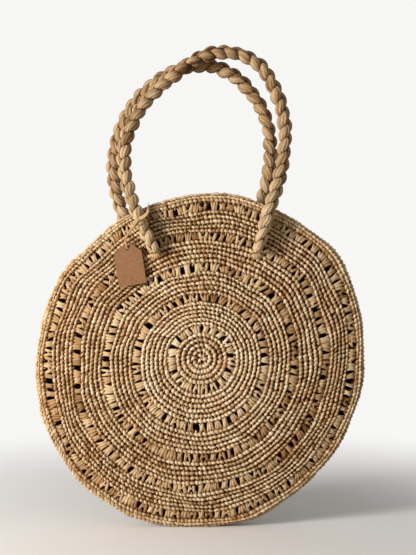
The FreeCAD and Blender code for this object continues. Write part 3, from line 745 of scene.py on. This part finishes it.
def crochetRim(seed):
    rng = np.random.default_rng(seed)
    mouth = rim["mouthHalfAngle"]
    for side, turn in facing.items():
        shoulder = [rimRow(rng, "plain", rim["shoulder"], turn, 0, 360)]
        piece = copyStitches(f"{side}_shoulder_round", shoulder, rng, rim["jitter"])
        dress(piece, "bag", "raffia_crochet", crochetRaffia, f"{side}_panel")
        edge = [rimRow(rng, "chain", rim["edgeRow"], turn, -mouth, mouth)]
        piece = copyStitches(f"{side}_mouth_chain", edge, rng, rim["jitter"])
        dress(piece, "bag", "raffia_crochet", crochetRaffia, f"{side}_mouth_edge")
    seam = [rimRow(rng, "plain", row, turn, mouth, 360 - mouth)
            for turn in facing.values() for row in rim["seamRows"]]
    seam.append(rimRow(rng, "chain", rim["joinRow"], 1, mouth, 360 - mouth))
    piece = copyStitches("rim_seam_rounds", seam, rng, rim["jitter"])
    dress(piece, "bag", "raffia_crochet", crochetRaffia, "rim_seam")


crochetRim(23)
print("rim crocheted")


# Strands and plaits

splineShape = {"order": 3, "resolution": 24, "fewestPoints": 4}


def readSpline(name, route):
    # The smooth line that has the route's points as its control points
    curve = bpy.data.curves.new(name, "CURVE")
    curve.dimensions = "3D"
    curve.resolution_u = splineShape["resolution"]
    spline = curve.splines.new("NURBS")
    spline.points.add(len(route) - 1)
    for point, place in zip(spline.points, route):
        point.co = (*place, 1)
    spline.order_u = splineShape["order"]
    spline.use_endpoint_u = True
    holder = bpy.data.objects.new(name, curve)
    bpy.context.scene.collection.objects.link(holder)
    bpy.context.view_layer.update()
    mesh = bpy.data.meshes.new_from_object(holder)
    line = np.array([vertex.co for vertex in mesh.vertices])
    bpy.data.objects.remove(holder)
    bpy.data.curves.remove(curve)
    bpy.data.meshes.remove(mesh)
    return line


def lengths(line):
    return np.concatenate([[0], np.cumsum(np.linalg.norm(np.diff(line, axis=0), axis=1))])


def evenly(line, step):
    run = lengths(line)
    marks = np.linspace(0, run[-1], max(splineShape["fewestPoints"], round(run[-1] / step) + 1))
    return np.stack([np.interp(marks, run, line[:, axis]) for axis in range(3)], axis=1), marks


def unit(vectors):
    return vectors / np.linalg.norm(vectors, axis=-1, keepdims=True)


def squareTo(axis, heading):
    return unit(axis - (axis * heading).sum(axis=-1, keepdims=True) * heading)


def tubeArrays(rings, marks, tones, closed):
    # A tube through rings of points, as arrays: quads along it, and a cap on each open end
    count, sides = rings.shape[:2]
    grid = np.arange(count * sides).reshape(count, sides)
    after = np.roll(grid, -1, axis=1)
    quads = np.stack([grid[:-1], after[:-1], after[1:], grid[1:]], axis=2)
    middle = rings[count // 2]
    girth = 6 * np.linalg.norm(middle[0] - middle.mean(0))      # about the way round
    around = np.arange(sides + 1) / sides * girth
    flat = np.stack(np.meshgrid(marks, around, indexing="ij"), axis=2)
    strandMap = np.stack([flat[:-1, :-1], flat[:-1, 1:], flat[1:, 1:], flat[1:, :-1]], axis=2).reshape(-1, 2)
    corners = quads.reshape(-1)
    starts = np.arange(len(corners) // 4) * 4
    if closed:
        seam = np.stack([grid[-1], after[-1], after[0], grid[0]], axis=1).reshape(-1)
        starts = np.concatenate([starts, len(corners) + np.arange(sides) * 4])
        strandMap = np.concatenate([strandMap, strandMap[:sides * 4]])
        corners = np.concatenate([corners, seam])
    else:
        for ring, mark in ((grid[0][::-1], marks[0]), (grid[-1], marks[-1])):
            starts = np.append(starts, len(corners))
            corners = np.concatenate([corners, ring])
            strandMap = np.concatenate([strandMap, np.stack([np.full(sides, mark), around[:-1]], axis=1)])
    return {"points": rings.reshape(-1, 3), "corners": corners, "starts": starts, "strandMap": strandMap,
            "tones": np.broadcast_to(tones, (count, sides)).reshape(-1)}


def joinTubes(name, tubes):
    firstPoint = np.cumsum([0] + [len(tube["points"]) for tube in tubes])
    firstCorner = np.cumsum([0] + [len(tube["corners"]) for tube in tubes])
    corners = np.concatenate([tube["corners"] + first for tube, first in zip(tubes, firstPoint)])
    starts = np.concatenate([tube["starts"] + first for tube, first in zip(tubes, firstCorner)])
    maps = {"strandMap": np.concatenate([tube["strandMap"] for tube in tubes])}
    points = np.concatenate([tube["points"] for tube in tubes])
    return meshPiece(name, points, corners, starts, maps, np.concatenate([tube["tones"] for tube in tubes]))


strandCrease = {"depth": 0.07, "count": 3, "twist": 4, "startSpread": 6}    # twist and spread in radians


def strandTube(line, width, depth, rng, tone, closed=False, sides=8, tipShare=1.0):
    # One raffia strand: a flattened tube with a few soft creases, which may thin out towards its far end
    heading = unit(np.gradient(line, axis=0))
    if closed:
        heading = unit(np.roll(line, -1, axis=0) - np.roll(line, 1, axis=0))
    side = np.zeros_like(line)
    guide = np.array([0.0, 1.0, 0.0]) if abs(heading[0][1]) < 0.8 else np.array([1.0, 0.0, 0.0])
    for index, direction in enumerate(heading):
        guide = squareTo(guide, direction)
        side[index] = guide
    other = np.cross(heading, side)
    share = np.linspace(0, 1, len(line))[:, None]
    taper = 1 - (1 - tipShare) * share ** 2
    turn = np.arange(sides) / sides * fullTurn
    start = rng.random() * strandCrease["startSpread"]
    crease = np.cos(strandCrease["count"] * turn + strandCrease["twist"] * share + start)
    size = (1 + strandCrease["depth"] * crease) * taper
    across = (width / 2 * np.cos(turn) * size)[:, :, None] * other[:, None, :]
    deep = (depth / 2 * np.sin(turn) * size)[:, :, None] * side[:, None, :]
    rings = line[:, None, :] + across + deep
    marks = lengths(line) + rng.random()
    return tubeArrays(rings, marks, tone, closed)


# Core of the seam: the yarn that its stitches close over, near-black as painted shade in the gaps of the seam

# tone: painted shade, near-black
seamCore = {"radius": 186.6, "halfDepth": 12.0, "halfThickness": 0.4, "steps": 120, "tone": -0.08}


def makeSeamCore():
    mouth = rim["mouthHalfAngle"]
    angles = np.radians(np.linspace(mouth, 360 - mouth, seamCore["steps"]))[:, None]
    radius = seamCore["radius"] + seamCore["halfThickness"] * np.array([1, 1, 1, -1, -1, -1])
    depth = seamCore["halfDepth"] * np.array([1, 0, -1, -1, 0, 1]) + 0 * angles
    height = discHeight / mm + radius * np.cos(angles)
    rings = np.stack([radius * np.sin(angles), depth, height], axis=2) * mm
    rings = softened(rings.reshape(-1, 3)).reshape(rings.shape)
    tube = tubeArrays(rings, angles[:, 0] * panelRadius, seamCore["tone"], False)
    dress(joinTubes("rim_seam_core", [tube]), "bag", "raffia_crochet", crochetRaffia, "rim_seam")


makeSeamCore()
print("seam core made")

plait = {
    "strands": 3,
    "period": 45.0 * mm,            # along the rope, before a strand repeats itself
    "swing": 4.2 * mm,              # how far a strand goes to each side
    "weave": 2.3 * mm,              # how far it goes in front and behind
    "strandWidth": 8.2 * mm,
    "strandDepth": 9.8 * mm,
    "puff": 0.30,                   # how much fuller a strand is at the edge of the rope than inside it
    "swingWander": (0.05, 40),      # how unevenly it swings, and at how many places along the rope
    "plumpWander": (0.05, 60),
    "strips": 9,                    # raffia strips that show round a strand
    "stripLay": 2.2,                # how far they wind round it, in radians for each period
    "stripTones": 64,
    "crease": 0.20,
    "folds": 0.07,                  # how unevenly the strands are filled
    "foldKinds": 3,
    "foldDrift": (2, 4),            # how far the folds drift round the strand, and how often
    "foldStart": 6,                 # radians within which they begin, at random
    "stripTone": 0.15,
    "toneWander": (0.03, 24),
    "lineTone": 0.95,               # painted shade: how much darker the raffia is where two strands meet
    "lineWidth": 0.28,              # share of a strand's half width
    "hollowTone": 0.55,             # painted shade: how much darker it is deep inside the rope
    "hollowFrom": 0.78,             # share of the rope's half width where the painted shade starts
    "hollowTo": 0.50,
    "sides": 36,
    "step": 1.2 * mm,
    "taperLength": 42 * mm,
    "taperShare": 0.78,
    "tipLength": 6 * mm,
    "tipShare": 0.25,
    "footTone": 0.20,               # how much paler the rope is at its feet
    "crownTone": -0.05,
    "glowLength": 95 * mm,          # from each foot, over which the painted light on the feet fades out
    "tieShare": 0.96,
    "tieSpread": 5 * mm,
}
handles = {
    "front": {
        "joint": "front_handle_swing",
        # mm across, deep and up from the height of the hinge
        "route": [(-51, -33.2, 0), (-72, -24.24, 43), (-86.5, -18.15, 85.5), (-86.5, -15.57, 127.5),
                  (-68, -13.21, 166), (-31.5, -10.97, 202.5), (14, -9.25, 230.5), (60, -9.71, 223),
                  (86, -11.92, 187), (97.5, -14.77, 140.5), (92, -17.66, 93.5), (76, -23.82, 43),
                  (63, -33.2, 0)],
        "tails": [(0.6, 1.6, -1.0), (-0.4, 1.6, -1.0)],
        "twist": (-56, -64),        # degrees that the plait is turned about the rope, from foot to foot
        "legShare": 0.92,           # how thick the legs are, against the crown
        "seed": 31,
        "tone": 0.44,
        "footGlow": (0.12, 0.30),   # painted light: how much paler still the left and the right foot are
    },
    "back": {
        "joint": "back_handle_swing",
        "route": [(-70, 33.41, 0), (-89, 23.93, 39), (-102, 18.13, 83.5), (-101, 15.35, 127.5),
                  (-82, 12.53, 172), (-44, 10.2, 209), (5.5, 9.25, 224), (46, 10.42, 205.5),
                  (75.5, 12.91, 166), (83, 15.72, 121.5), (76, 18.54, 77), (64, 26.62, 39), (55, 33.41, 0)],
        "tails": [(0.5, -1.6, -1.0), (-0.4, -1.6, -1.0)],
        "twist": (-52, -60),
        "legShare": 0.94,
        "seed": 32,
        "tone": 0.43,
        "footGlow": (0, 0.10),
    },
}


def smooth(share):
    share = np.clip(share, 0, 1)
    return share * share * (3 - 2 * share)


def slowWander(rng, marks, middle, spread, knots):
    return np.interp(marks, np.linspace(0, marks[-1], knots), rng.normal(middle, spread, knots))


def handleLine(handle):
    base = Vector((0, 0, joints[handle["joint"]]["pos_m"][2]))
    points = [base + Vector(place) * mm for place in handle["route"]]
    first, last = [Vector(tail) * mm for tail in handle["tails"]]
    return [points[0] + first] + points + [points[-1] + last]


def ropeAxes(side, line):
    # Along the rope, sideways and forwards in the plait, which is turned about the rope
    heading = unit(np.gradient(line, axis=0))
    forwards = squareTo(np.array([0.0, -facing[side], 0.0]), heading)
    sideways = np.cross(forwards, heading)
    twist = np.radians(np.linspace(*handles[side]["twist"], len(line)))[:, None]
    return (heading, sideways * np.cos(twist) + forwards * np.sin(twist),
            forwards * np.cos(twist) - sideways * np.sin(twist))


def ropeShape(handle, line, marks, tiePlace):
    # How thick the rope is along its length, against its crown, and how pale
    fromEnd = np.minimum(marks, marks[-1] - marks)
    crown = np.sin(math.pi * marks / marks[-1])
    slim = plait["taperShare"] + (1 - plait["taperShare"]) * smooth(fromEnd / plait["taperLength"])
    slim = slim * (handle["legShare"] + (1 - handle["legShare"]) * crown ** 2)
    tip = np.sqrt(np.clip(fromEnd / plait["tipLength"], 0, 1))
    slim = slim * (plait["tipShare"] + (1 - plait["tipShare"]) * tip)
    if tiePlace is not None:
        away = np.linalg.norm(line - tiePlace, axis=1) / plait["tieSpread"]
        slim = slim * (1 - (1 - plait["tieShare"]) * np.exp(-away ** 2))
    # Painted light: the feet, the right one most, are made paler as if lit
    paintedLightOnFeet = np.where(marks < marks[-1] / 2, *handle["footGlow"]) * smooth(1 - fromEnd / plait["glowLength"])
    return slim, paintedLightOnFeet + plait["footTone"] + (plait["crownTone"] - plait["footTone"]) * crown


def strandWays(rng, marks, slim):
    # How far each strand lies to the side and in front of the rope's middle, and how full it is
    ways = []
    for number in range(plait["strands"]):
        phase = fullTurn * (marks / plait["period"] + number / plait["strands"])
        sway = plait["swing"] * np.sin(phase) * slim * (1 + slowWander(rng, marks, 0, *plait["swingWander"]))
        over = plait["weave"] * np.sin(2 * phase) * slim
        plump = slim * (1 + slowWander(rng, marks, 0, *plait["plumpWander"]))
        ways.append((sway, over, plump * (1 - plait["puff"] * np.cos(2 * phase))))
    return ways


def strandCreases(rng, marks, turn, strip):
    crease = 1 - plait["crease"] * (0.5 + 0.5 * np.cos(fullTurn * strip)) ** 2
    drift, often = plait["foldDrift"]
    for fold in range(1, plait["foldKinds"] + 1):
        foldStart, driftStart = rng.random(2) * plait["foldStart"]
        shift = drift * np.sin(marks[:, None] * fold / plait["period"] * often + driftStart)
        crease = crease + plait["folds"] / fold * np.sin(fold * turn + foldStart + shift)
    return crease


def plaitRope(name, side, tiePlace):
    handle = handles[side]
    rng = np.random.default_rng(handle["seed"])
    line, marks = evenly(readSpline(name + "_line", handleLine(handle)), plait["step"])
    heading, sideways, forwards = ropeAxes(side, line)
    slim, ropeTone = ropeShape(handle, line, marks, tiePlace)
    ways = strandWays(rng, marks, slim)
    turn = np.arange(plait["sides"]) / plait["sides"] * fullTurn
    halfWidth = plait["strandWidth"] / 2
    halfDepth = plait["strandDepth"] / 2
    tubes = []
    for number, (sway, over, plump) in enumerate(ways):
        centre = line + sideways * sway[:, None] + forwards * over[:, None]
        direction = unit(np.gradient(centre, axis=0))
        wide = squareTo(sideways, direction)
        deep = np.cross(direction, wide)
        lay = turn + marks[:, None] / plait["period"] * plait["stripLay"] + number
        strip = lay * plait["strips"] / fullTurn
        size = plump[:, None] * strandCreases(rng, marks, turn, strip)
        rings = (centre[:, None, :] + wide[:, None, :] * (halfWidth * size * np.cos(turn))[:, :, None]
                 + deep[:, None, :] * (halfDepth * size * np.sin(turn))[:, :, None])
        stripTones = rng.normal(0, plait["stripTone"], plait["stripTones"])
        tone = stripTones[np.floor(strip).astype(int) % plait["stripTones"]]
        offset = rings - line[:, None, :]
        onwards, across, ahead = [(offset * axis[:, None, :]).sum(axis=2)
                                  for axis in (heading, sideways, forwards)]
        reach = np.hypot(across / ((plait["swing"] + halfWidth) * slim[:, None]),
                         ahead / ((plait["weave"] + halfDepth) * slim[:, None]))
        # Painted shade deep inside the rope, where the strands shade each other
        sunk = smooth((plait["hollowFrom"] - reach) / (plait["hollowFrom"] - plait["hollowTo"]))
        tone = tone - plait["hollowTone"] * sunk
        # Painted shade: a dark line where the strand lies against each of the others
        along = marks[:, None] + onwards
        for other in ways[:number] + ways[number + 1:]:
            otherSway, otherOver, otherPlump = [np.interp(along, marks, values) for values in other]
            near = np.hypot((across - otherSway) / (halfWidth * otherPlump),
                            (ahead - otherOver) / (halfDepth * otherPlump))
            tone = tone - plait["lineTone"] * np.clip((1 - near) / plait["lineWidth"] + 1, 0, 1)
        slowTone = slowWander(rng, marks, handle["tone"], *plait["toneWander"]) + ropeTone
        tubes.append(tubeArrays(rings, marks + number, tone + slowTone[:, None], False))
    return joinTubes(name, tubes), line


# Where the tag's strand leaves the tie, the tag's hole and the card's facing come with the joints.
strandTop = np.array(joints["tag_hang"]["pos_m"])
tagHole = np.array(joints["tag_swing"]["pos_m"])
cardFacing = np.array(joints["tag_swing"]["axis"])
tie = {
    "knotBehindStrand": 5.1 * mm,
    "ropeBehindKnot": 10.9 * mm,
    "turns": 1,
    "turnSteps": 28,
    "turnStep": 2.4 * mm,           # along the rope, in each turn
    "halfWidth": 7.8 * mm,
    "halfDepth": 7.2 * mm,
    "slant": -0.3,
    "strandWidth": 1.9 * mm,
    "strandDepth": 1.5 * mm,
    "knotSize": 4.4 * mm,
    # mm to the right and up, and the route in shares of these and of the bow
    "looseEnds": [((10, 19), [(0, 0, 0), (0.55, -0.5, 0.22), (1.05, -0.3, 0.5), (1, 0, 1)]),
                  ((14, 12), [(0, 0, 0), (0.4, -0.8, 0.2), (0.75, -1, 0.6), (0.8, -0.6, 0.95)])],
    "bow": 2.5,
    "looseWidth": 2.47 * mm,        # the loose ends are flatter than the turns
    "looseDepth": 1.05 * mm,
    "looseTip": 0.25,
    "step": 1 * mm,
    "tone": 0.44,
    "looseTone": 0.48,
    "seed": 41,
}
tieKnot = strandTop + np.array([0, tie["knotBehindStrand"], 0])
tieRope = tieKnot + np.array([0, tie["ropeBehindKnot"], 0])

frontHandle, frontLine = plaitRope("front_handle_plait", "front", tieRope)
dress(frontHandle, "front_handle", "raffia_plait", plaitRaffia, "front_handle")
backHandle = plaitRope("back_handle_plait", "back", None)[0]
dress(backHandle, "back_handle", "raffia_plait", plaitRaffia, "back_handle")
print("handles plaited")

overhandKnot = {"steps": 48, "overUnder": 1.3, "strandRadius": 0.8 * mm}


def knotLine(centre, across):
    # An overhand knot, drawn up round: three lobes that pass over and under each other
    turn = np.arange(overhandKnot["steps"]) / overhandKnot["steps"] * fullTurn
    shape = np.stack([np.sin(turn) + 2 * np.sin(2 * turn), -overhandKnot["overUnder"] * np.sin(3 * turn),
                      np.cos(turn) - 2 * np.cos(2 * turn)], axis=1)
    return centre + shape * (across / 2 - overhandKnot["strandRadius"]) / 3


# Lashings: a loop of raffia through each rope end and the fabric, and a few stitches that fan out below it

lashing = {
    "strands": 2,
    "spread": 1.5 * mm,
    "width": 2.0 * mm,
    "depth": 1.7 * mm,
    "corner": 0.55,                 # how square the loop is: 1 is round
    "halfWidth": {"front": 5.2 * mm, "back": 3.8 * mm},     # narrower than the rope: it runs within the plait
    "waver": 0.3 * mm,
    "steps": 64,
    # mm across and up from the middle of the loop
    "fan": [(-5.6, -5.0), (-3.0, -6.8), (0, -7.6), (3.0, -7.0), (5.6, -5.4)],
    "fanWidth": 2.6 * mm,
    "fanDepth": 1.4 * mm,
    # shares across and up, and mm out of the fabric
    "fanRoute": [(0.1, 0.05, 1.2), (0.45, 0.4, 2.4), (0.85, 0.85, 1.6), (1.0, 1.05, -2.2)],
    "fanStep": 1 * mm,
    "tone": 0.55,
    "toneSpread": 0.05,
    "fanToneSpread": 0.06,
}


def lashEnd(side, end, seed):
    rng = np.random.default_rng(seed)
    node = f"{side}_{end}_lashing"
    turn = facing[side]
    low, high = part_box(node)
    middle = np.array((low + high) / 2)
    outer = max(abs(low.y), abs(high.y)) - lashing["width"] / 2
    inner = min(abs(low.y), abs(high.y)) + lashing["width"] / 2
    around = np.arange(lashing["steps"]) / lashing["steps"] * fullTurn
    wide, deep = [np.sign(wave) * np.abs(wave) ** lashing["corner"]
                  for wave in (np.cos(around), np.sin(around))]
    tubes = []
    for number in range(lashing["strands"]):
        rise = (number - (lashing["strands"] - 1) / 2) * lashing["spread"]
        line = np.stack([
            middle[0] + lashing["halfWidth"][side] * wide,
            -turn * ((outer + inner) / 2 + (outer - inner) / 2 * deep),
            middle[2] + rise * np.cos(around * 2 + number * 3) + lashing["waver"] * np.sin(around * 3),
        ], axis=1)
        tone = lashing["tone"] + rng.normal(0, lashing["toneSpread"])
        tubes.append(strandTube(line, lashing["width"], lashing["depth"], rng, tone, closed=True))
    for across, up in lashing["fan"]:
        route = []
        for acrossShare, upShare, standOff in lashing["fanRoute"]:
            x = middle[0] + across * acrossShare * mm
            z = middle[2] + up * upShare * mm
            depth = onDome(math.hypot(x, z - discHeight))[0]
            route.append((x, -turn * (depth + standOff * mm), z))
        line = evenly(readSpline("fan_line", route), lashing["fanStep"])[0]
        tone = lashing["tone"] + rng.normal(0, lashing["fanToneSpread"])
        tubes.append(strandTube(line, lashing["fanWidth"], lashing["fanDepth"], rng, tone))
    piece = joinTubes(node + "_strands", tubes)
    dress(piece, "bag", "raffia_strand", strandRaffia, node)


lashEnd("front", "left", 51)
lashEnd("front", "right", 52)
lashEnd("back", "left", 53)
lashEnd("back", "right", 54)
print("rope ends lashed")


# Tie: turns of raffia round the front handle, a knot in front and two loose ends

def makeTie():
    rng = np.random.default_rng(tie["seed"])
    nearest = np.linalg.norm(frontLine - tieRope, axis=1).argmin()
    heading = unit(frontLine[nearest + 2] - frontLine[nearest - 2])
    deep = squareTo(np.array([0.0, -1.0, 0.0]), heading)
    across = np.cross(deep, heading)
    turn = np.linspace(0, tie["turns"] * fullTurn, tie["turns"] * tie["turnSteps"])
    onwards = ((turn / turn[-1] - 0.5) * tie["turns"] * tie["turnStep"]
               + np.sin(turn) * tie["slant"] * tie["halfWidth"])
    wind = (frontLine[nearest] + np.cos(turn)[:, None] * tie["halfDepth"] * deep
            + np.sin(turn)[:, None] * tie["halfWidth"] * across + onwards[:, None] * heading)
    knot = knotLine(tieKnot, tie["knotSize"])
    tubes = [strandTube(wind, tie["strandWidth"], tie["strandDepth"], rng, tie["tone"]),
             strandTube(knot, tie["strandWidth"], tie["strandDepth"], rng, tie["tone"], closed=True)]
    for (reach, rise), shares in tie["looseEnds"]:
        route = [tieKnot + np.array([x * reach, y * tie["bow"], z * rise]) * mm for x, y, z in shares]
        line = evenly(readSpline("loose_end_line", route), tie["step"])[0]
        tubes.append(strandTube(line, tie["looseWidth"], tie["looseDepth"], rng, tie["looseTone"],
                                tipShare=tie["looseTip"]))
    piece = joinTubes("tag_tie_wrap", tubes)
    dress(piece, "front_handle", "raffia_strand", strandRaffia, "tag_tie")


makeTie()
print("tie wound")

# Hanging strand: from the tie down through the hole in the card and back up to its own knot

tagStrand = {
    "diameter": 1.8 * mm,
    "ribbonWidth": 2.5 * mm,
    "ribbonDepth": 1.2 * mm,
    "ribbonSides": 10,
    "step": 0.7 * mm,
    "loopHeight": 11.5 * mm,
    "loopDepth": 4.0 * mm,
    "bow": (-0.96, -1.6, 0.0),      # mm that the strand bows out between the tie and the loop
    "tilt": 10,                     # degrees that the card hangs off plumb
    "knotSize": 5.2 * mm,
    "knotWidth": 1.5 * mm,
    "knotDepth": 1.3 * mm,
    "tone": 0.24,
    "seed": 61,
}


def hangStrand():
    rng = np.random.default_rng(tagStrand["seed"])
    tilt = math.radians(tagStrand["tilt"])
    upright = squareTo(np.array([0.0, 0.0, 1.0]), cardFacing)
    sideways = np.cross(cardFacing, upright)
    up = upright * math.cos(tilt) - sideways * math.sin(tilt) * np.sign(sideways[0])
    half = cardFacing * tagStrand["loopDepth"] / 2
    top = up * tagStrand["loopHeight"]
    frontTop = tagHole - half + top
    bowed = (strandTop + frontTop) / 2 + np.array(tagStrand["bow"]) * mm
    route = [strandTop, bowed, frontTop, tagHole - half, tagHole + half, tagHole + half + top]
    line, marks = evenly(readSpline("tag_strand_line", route), tagStrand["step"])
    ribbon = strandTube(line, tagStrand["ribbonWidth"], tagStrand["ribbonDepth"], rng, tagStrand["tone"],
                        sides=tagStrand["ribbonSides"])
    strand = joinTubes("tag_strand_cord", [ribbon])
    dress(strand, "tag_strand", "raffia_strand", strandRaffia, "tag_strand")
    drawnUp = strandTube(knotLine(tagHole + top, tagStrand["knotSize"]), tagStrand["knotWidth"],
                         tagStrand["knotDepth"], rng, tagStrand["tone"], closed=True)
    knot = joinTubes("tag_strand_knot", [drawnUp])
    dress(knot, "tag_strand", "raffia_strand", strandRaffia, "tag_strand")
    card = frame["nodes"]["hang_tag"]
    card.data.materials.clear()
    card.data.materials.append(tagCard)


hangStrand()
print("tag hung")

# Stage, light and camera

stage = {
    "floorSize": 12.0,
    "floorColour": (0.90, 0.885, 0.865),
    "floorRoughness": 0.9,
    "bounceColour": (0.42, 0.36, 0.29),     # the floor as the bag is lit by it
    "backColour": (0.93, 0.925, 0.915),
    "fadeStart": 0.20,
    "fadeEnd": 0.75,
    "worldColour": (1.0, 0.985, 0.96),
    "worldStrength": 0.34,
    "keyPlace": (-1.35, -0.9, 0.50),
    "keySize": 0.5,
    "keyPower": 36,
    "keyColour": (1.0, 0.965, 0.92),
    "fillPlace": (1.3, -1.2, 0.7),
    "fillSize": 1.4,
    "fillPower": 0.5,
    "fillColour": (1, 1, 1),
    "aimShare": 1.3,                        # of the discs' middle height, where both lights are aimed
}
camera = {"distance": 1.12, "across": 8.4 * mm, "up": 284 * mm, "nearY": -20 * mm, "viewHeight": 31.2}


def makeFloor():
    bpy.ops.object.select_all(action="DESELECT")
    bpy.ops.mesh.primitive_plane_add(size=stage["floorSize"])
    floor = bpy.context.object
    floor.name = "stage_floor"
    # Away from the bag the floor fades into the background
    material, nodes, links, shader = newMaterial("stageFloor")
    shader.inputs["Roughness"].default_value = stage["floorRoughness"]
    lightPath = addNode(nodes, "LightPath")
    colour = addNode(nodes, "Mix", {"A": (*stage["bounceColour"], 1), "B": (*stage["floorColour"], 1)},
                     data_type="RGBA")
    place = addNode(nodes, "TexCoord")
    distance = addNode(nodes, "VectorMath", operation="LENGTH")
    fade = addNode(nodes, "MapRange", {"From Min": stage["fadeStart"], "From Max": stage["fadeEnd"]},
                   interpolation_type="SMOOTHSTEP")
    seen = addNode(nodes, "Math", operation="MULTIPLY")
    plain = addNode(nodes, "Emission", {"Color": (*stage["backColour"], 1)})
    mix = addNode(nodes, "MixShader")
    linkAll(links, [
        (lightPath.outputs["Is Camera Ray"], colour.inputs["Factor"]),
        (colour.outputs["Result"], shader.inputs["Base Color"]),
        (place.outputs["Object"], distance.inputs[0]),
        (distance.outputs["Value"], fade.inputs["Value"]),
        (fade.outputs["Result"], seen.inputs[0]),
        (lightPath.outputs["Is Camera Ray"], seen.inputs[1]),
        (seen.outputs[0], mix.inputs["Fac"]),
        (shader.outputs[0], mix.inputs[1]),
        (plain.outputs[0], mix.inputs[2]),
        (mix.outputs[0], nodes["Material Output"].inputs["Surface"]),
    ])
    floor.data.materials.append(material)


def makeWorld():
    world = bpy.data.worlds.new("studio")
    bpy.context.scene.world = world
    world.use_nodes = True
    nodes = world.node_tree.nodes
    nodes.clear()
    # What is seen is the plain background; what lights the bag is the studio
    lightPath = addNode(nodes, "LightPath")
    seen = addNode(nodes, "Math", operation="MAXIMUM")
    shown = addNode(nodes, "Math", operation="MAXIMUM")
    lit = addNode(nodes, "Background", {"Color": (*stage["worldColour"], 1),
                                        "Strength": stage["worldStrength"]})
    back = addNode(nodes, "Background", {"Color": (*stage["backColour"], 1)})
    mix = addNode(nodes, "MixShader")
    output = addNode(nodes, "OutputWorld")
    linkAll(world.node_tree.links, [
        (lightPath.outputs["Is Camera Ray"], seen.inputs[0]),
        (lightPath.outputs["Is Glossy Ray"], seen.inputs[1]),
        (seen.outputs[0], shown.inputs[0]),
        (lightPath.outputs["Is Transmission Ray"], shown.inputs[1]),
        (shown.outputs[0], mix.inputs["Fac"]),
        (lit.outputs[0], mix.inputs[1]),
        (back.outputs[0], mix.inputs[2]),
        (mix.outputs[0], output.inputs["Surface"]),
    ])


def softLight(name, target):
    place = Vector(stage[name + "Place"])
    bpy.ops.object.light_add(type="AREA", location=place)
    lamp = bpy.context.object
    lamp.name = name + "_light"
    lamp.data.shape = "DISK"
    lamp.data.size = stage[name + "Size"]
    lamp.data.energy = stage[name + "Power"]
    lamp.data.color = stage[name + "Colour"]
    lamp.rotation_euler = (target - place).to_track_quat("-Z", "Y").to_euler()


def placeCamera():
    place = (camera["across"], camera["nearY"] - camera["distance"], camera["up"])
    bpy.ops.object.camera_add(location=place, rotation=(math.pi / 2, 0, 0))
    viewer = bpy.context.object
    viewer.data.sensor_fit = "VERTICAL"
    viewer.data.angle = math.radians(camera["viewHeight"])
    bpy.context.scene.camera = viewer


makeFloor()
makeWorld()
bagMiddle = Vector((0, 0, discHeight * stage["aimShare"]))
softLight("key", bagMiddle)
softLight("fill", bagMiddle)
placeCamera()
bpy.context.scene.view_settings.view_transform = "Standard"
print("stage set")
